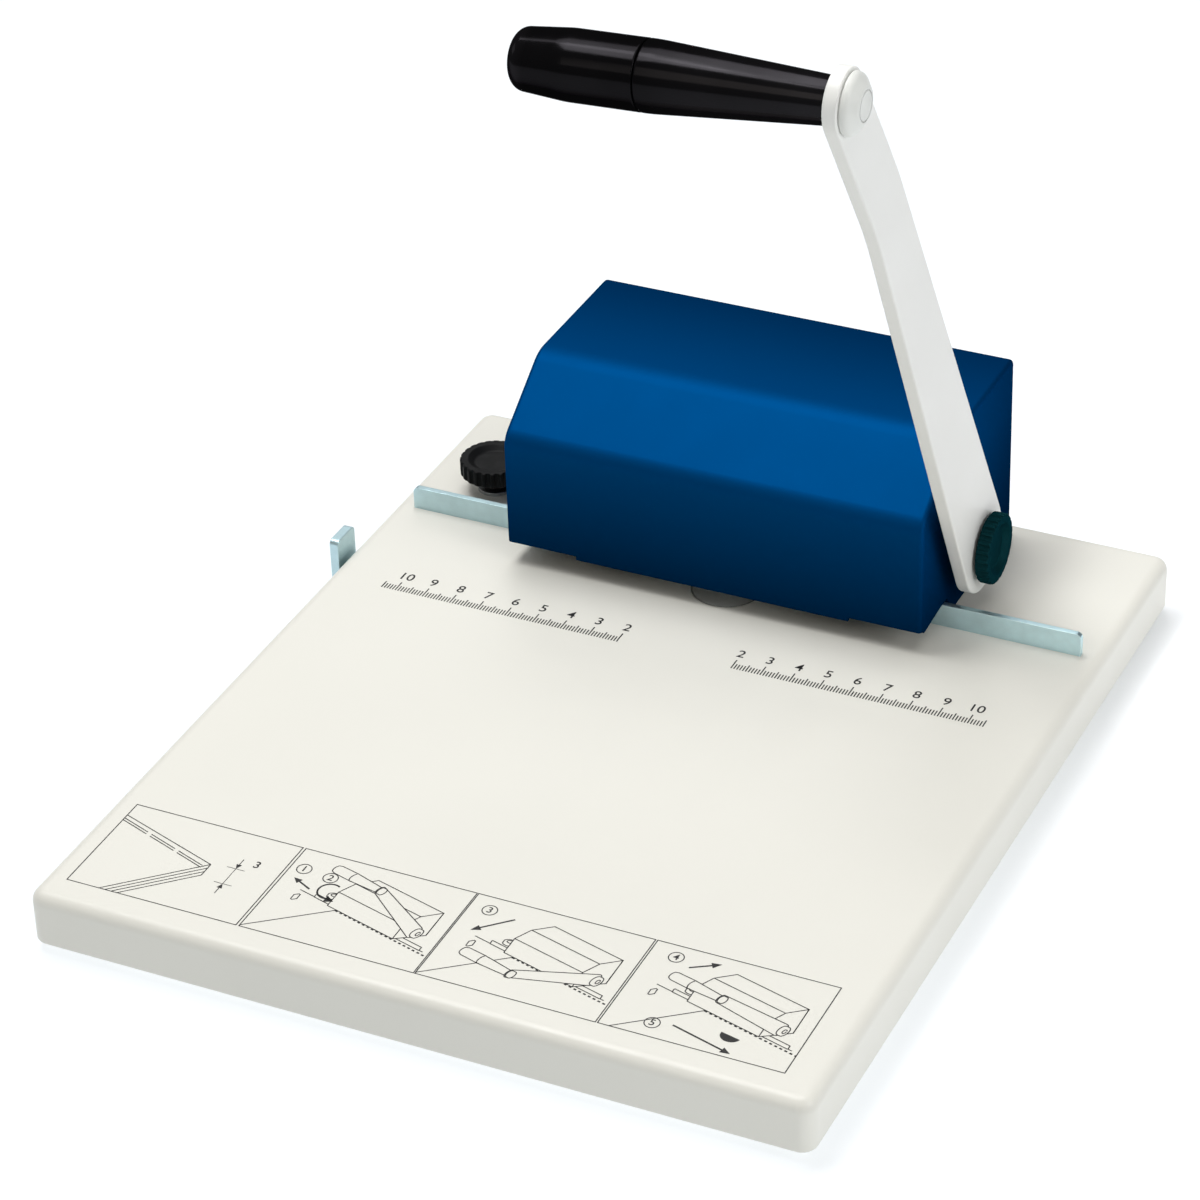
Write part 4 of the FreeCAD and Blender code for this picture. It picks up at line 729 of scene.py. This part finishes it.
def make_pictograms():
    strip = Print()
    for box in range(len(STRIP_BOXES)):
        strip.line(box_outline(box), closed=True)
    draw_sheets(strip)
    draw_gauge(strip)
    for box, pose in enumerate(MACHINE_POSES, 1):
        view = Pictogram(box, MACHINE_SCALE, spot(box, MACHINE_PLACE))
        draw_machine(view, *pose)
        view.draw(strip)
    draw_signs(strip)
    digits = [("3", *spot(0, GAUGE_DIGIT), GAUGE_DIGIT_HEIGHT)]
    for number, box, place in NUMBERS:
        middle = spot(box, place)
        strip.arc(middle, NUMBER_RING)
        digits.append((str(number), *middle, NUMBER_HEIGHT))
    strip.piece("pictogram_strip")
    make_digits("pictogram_digits", digits)


make_springs()
make_rulers()
make_pictograms()
make_ruler_digits()


# Studio: pale floor, soft light, camera at the photograph's angle

# The floor glows white, apart from a patch to the right of the machine. There the lights make
# it white, so that the machine's shadow shows. The patch fades in over one range in metres to
# the right of the middle, and out over another away from the middle.
FLOOR_HALF = 3.0
TO_RIGHT, LIT_RIGHT, LIT_NEAR = (1, 0.3, 0), (0.06, 0.16), (0.3, 0.7)
GLOW, GLOW_LIT, GLOW_COLOUR = 0.80, 0.19, (0.93, 0.97, 1.0, 1)
FLOOR_DARK, FLOOR_PALE = (0.26, 0.265, 0.27), ((0.90, 0.915, 0.94), (0.92, 0.935, 0.96))

# Each light: name, place, size, power in watts and colour. All face one point.
LIT_POINT = (0, 0, 0.05)
LIGHTS = (
    ("overhead_softbox", (-0.3, 0.25, 1.3), (0.8, 0.6), 8.6, WHITE),
    ("left_softbox", (-0.45, -0.15, 1.3), (0.5, 0.3), 4.2, WHITE),
    ("right_softbox", (0.45, -0.1, 1.2), (0.8, 0.6), 2.4, WHITE),
    ("left_fill", (-1.3, -0.3, 0.9), (0.7, 0.5), 1.2, WHITE),
    ("back_softbox", (-0.5, 1.05, 0.85), (1.1, 0.7), 2.4, WHITE),
    ("right_fill", (1.5, -0.2, 0.8), (0.9, 0.7), 8, WHITE),
    ("front_fill", (-0.3, -1.6, 1.3), (1.2, 0.8), 4.0, (1.0, 0.94, 0.84)),
)
AMBIENT = 0.11

CAMERA_PLACE = (0.47453, -0.98077, 0.76662)
CAMERA_TURN = (57.1603, 1.6858, 25.0821)
CAMERA_LENS, CAMERA_SENSOR, CAMERA_REACH = 126.746, 36, 20


def floor_material():
    f = Finish("studio_floor", (0.92, 0.93, 0.95), 0.7)
    rightwards = f.spread(f.measure("DOT_PRODUCT", f.place, TO_RIGHT), 0, 1, *LIT_RIGHT)
    near = f.spread(f.measure("LENGTH", f.place), 1, 0, *LIT_NEAR)
    lit = f.add("ShaderNodeMath", operation="MULTIPLY")
    f.link(rightwards, lit.inputs[0])
    f.link(near, lit.inputs[1])
    lit = lit.outputs["Value"]
    pale = f.mix(f.spread(f.noise(FLOOR_CLOUDS, 2), 0, 1), *FLOOR_PALE)
    f.tint(f.mix(lit, FLOOR_DARK, pale))
    f.link(f.spread(lit, GLOW, GLOW_LIT, 0, 1), f.shader.inputs["Emission Strength"])
    return f.finish(Emission_Color=GLOW_COLOUR)


def make_floor():
    half = FLOOR_HALF
    corners = [(-half, -half, 0), (half, -half, 0), (half, half, 0), (-half, half, 0)]
    floor = new_object("floor", corners, [(0, 1, 2, 3)], floor_material())


def make_light(name, place, size, power, colour):
    data = bpy.data.lights.new(name, "AREA")
    data.shape = "RECTANGLE"
    data.size, data.size_y = size
    data.energy = power
    data.color = colour
    light = bpy.data.objects.new(name, data)
    light.location = place
    way = Vector(LIT_POINT) - Vector(place)
    light.rotation_euler = way.to_track_quat("-Z", "Y").to_euler()
    bpy.context.scene.collection.objects.link(light)


def make_world():
    world = bpy.data.worlds.new("studio")
    bpy.context.scene.world = world
    world.use_nodes = True
    background = world.node_tree.nodes["Background"]
    background.inputs["Color"].default_value = (*WHITE, 1)
    background.inputs["Strength"].default_value = AMBIENT
    bpy.context.scene.view_settings.view_transform = "Standard"


def make_camera():
    data = bpy.data.cameras.new("photo_camera")
    data.lens = CAMERA_LENS
    data.sensor_width = CAMERA_SENSOR
    data.clip_end = CAMERA_REACH
    camera = bpy.data.objects.new("photo_camera", data)
    camera.location = CAMERA_PLACE
    camera.rotation_euler = [math.radians(a) for a in CAMERA_TURN]
    bpy.context.scene.collection.objects.link(camera)
    bpy.context.scene.camera = camera


make_floor()
for light in LIGHTS:
    make_light(*light)
make_world()
make_camera()

bpy.context.view_layer.update()
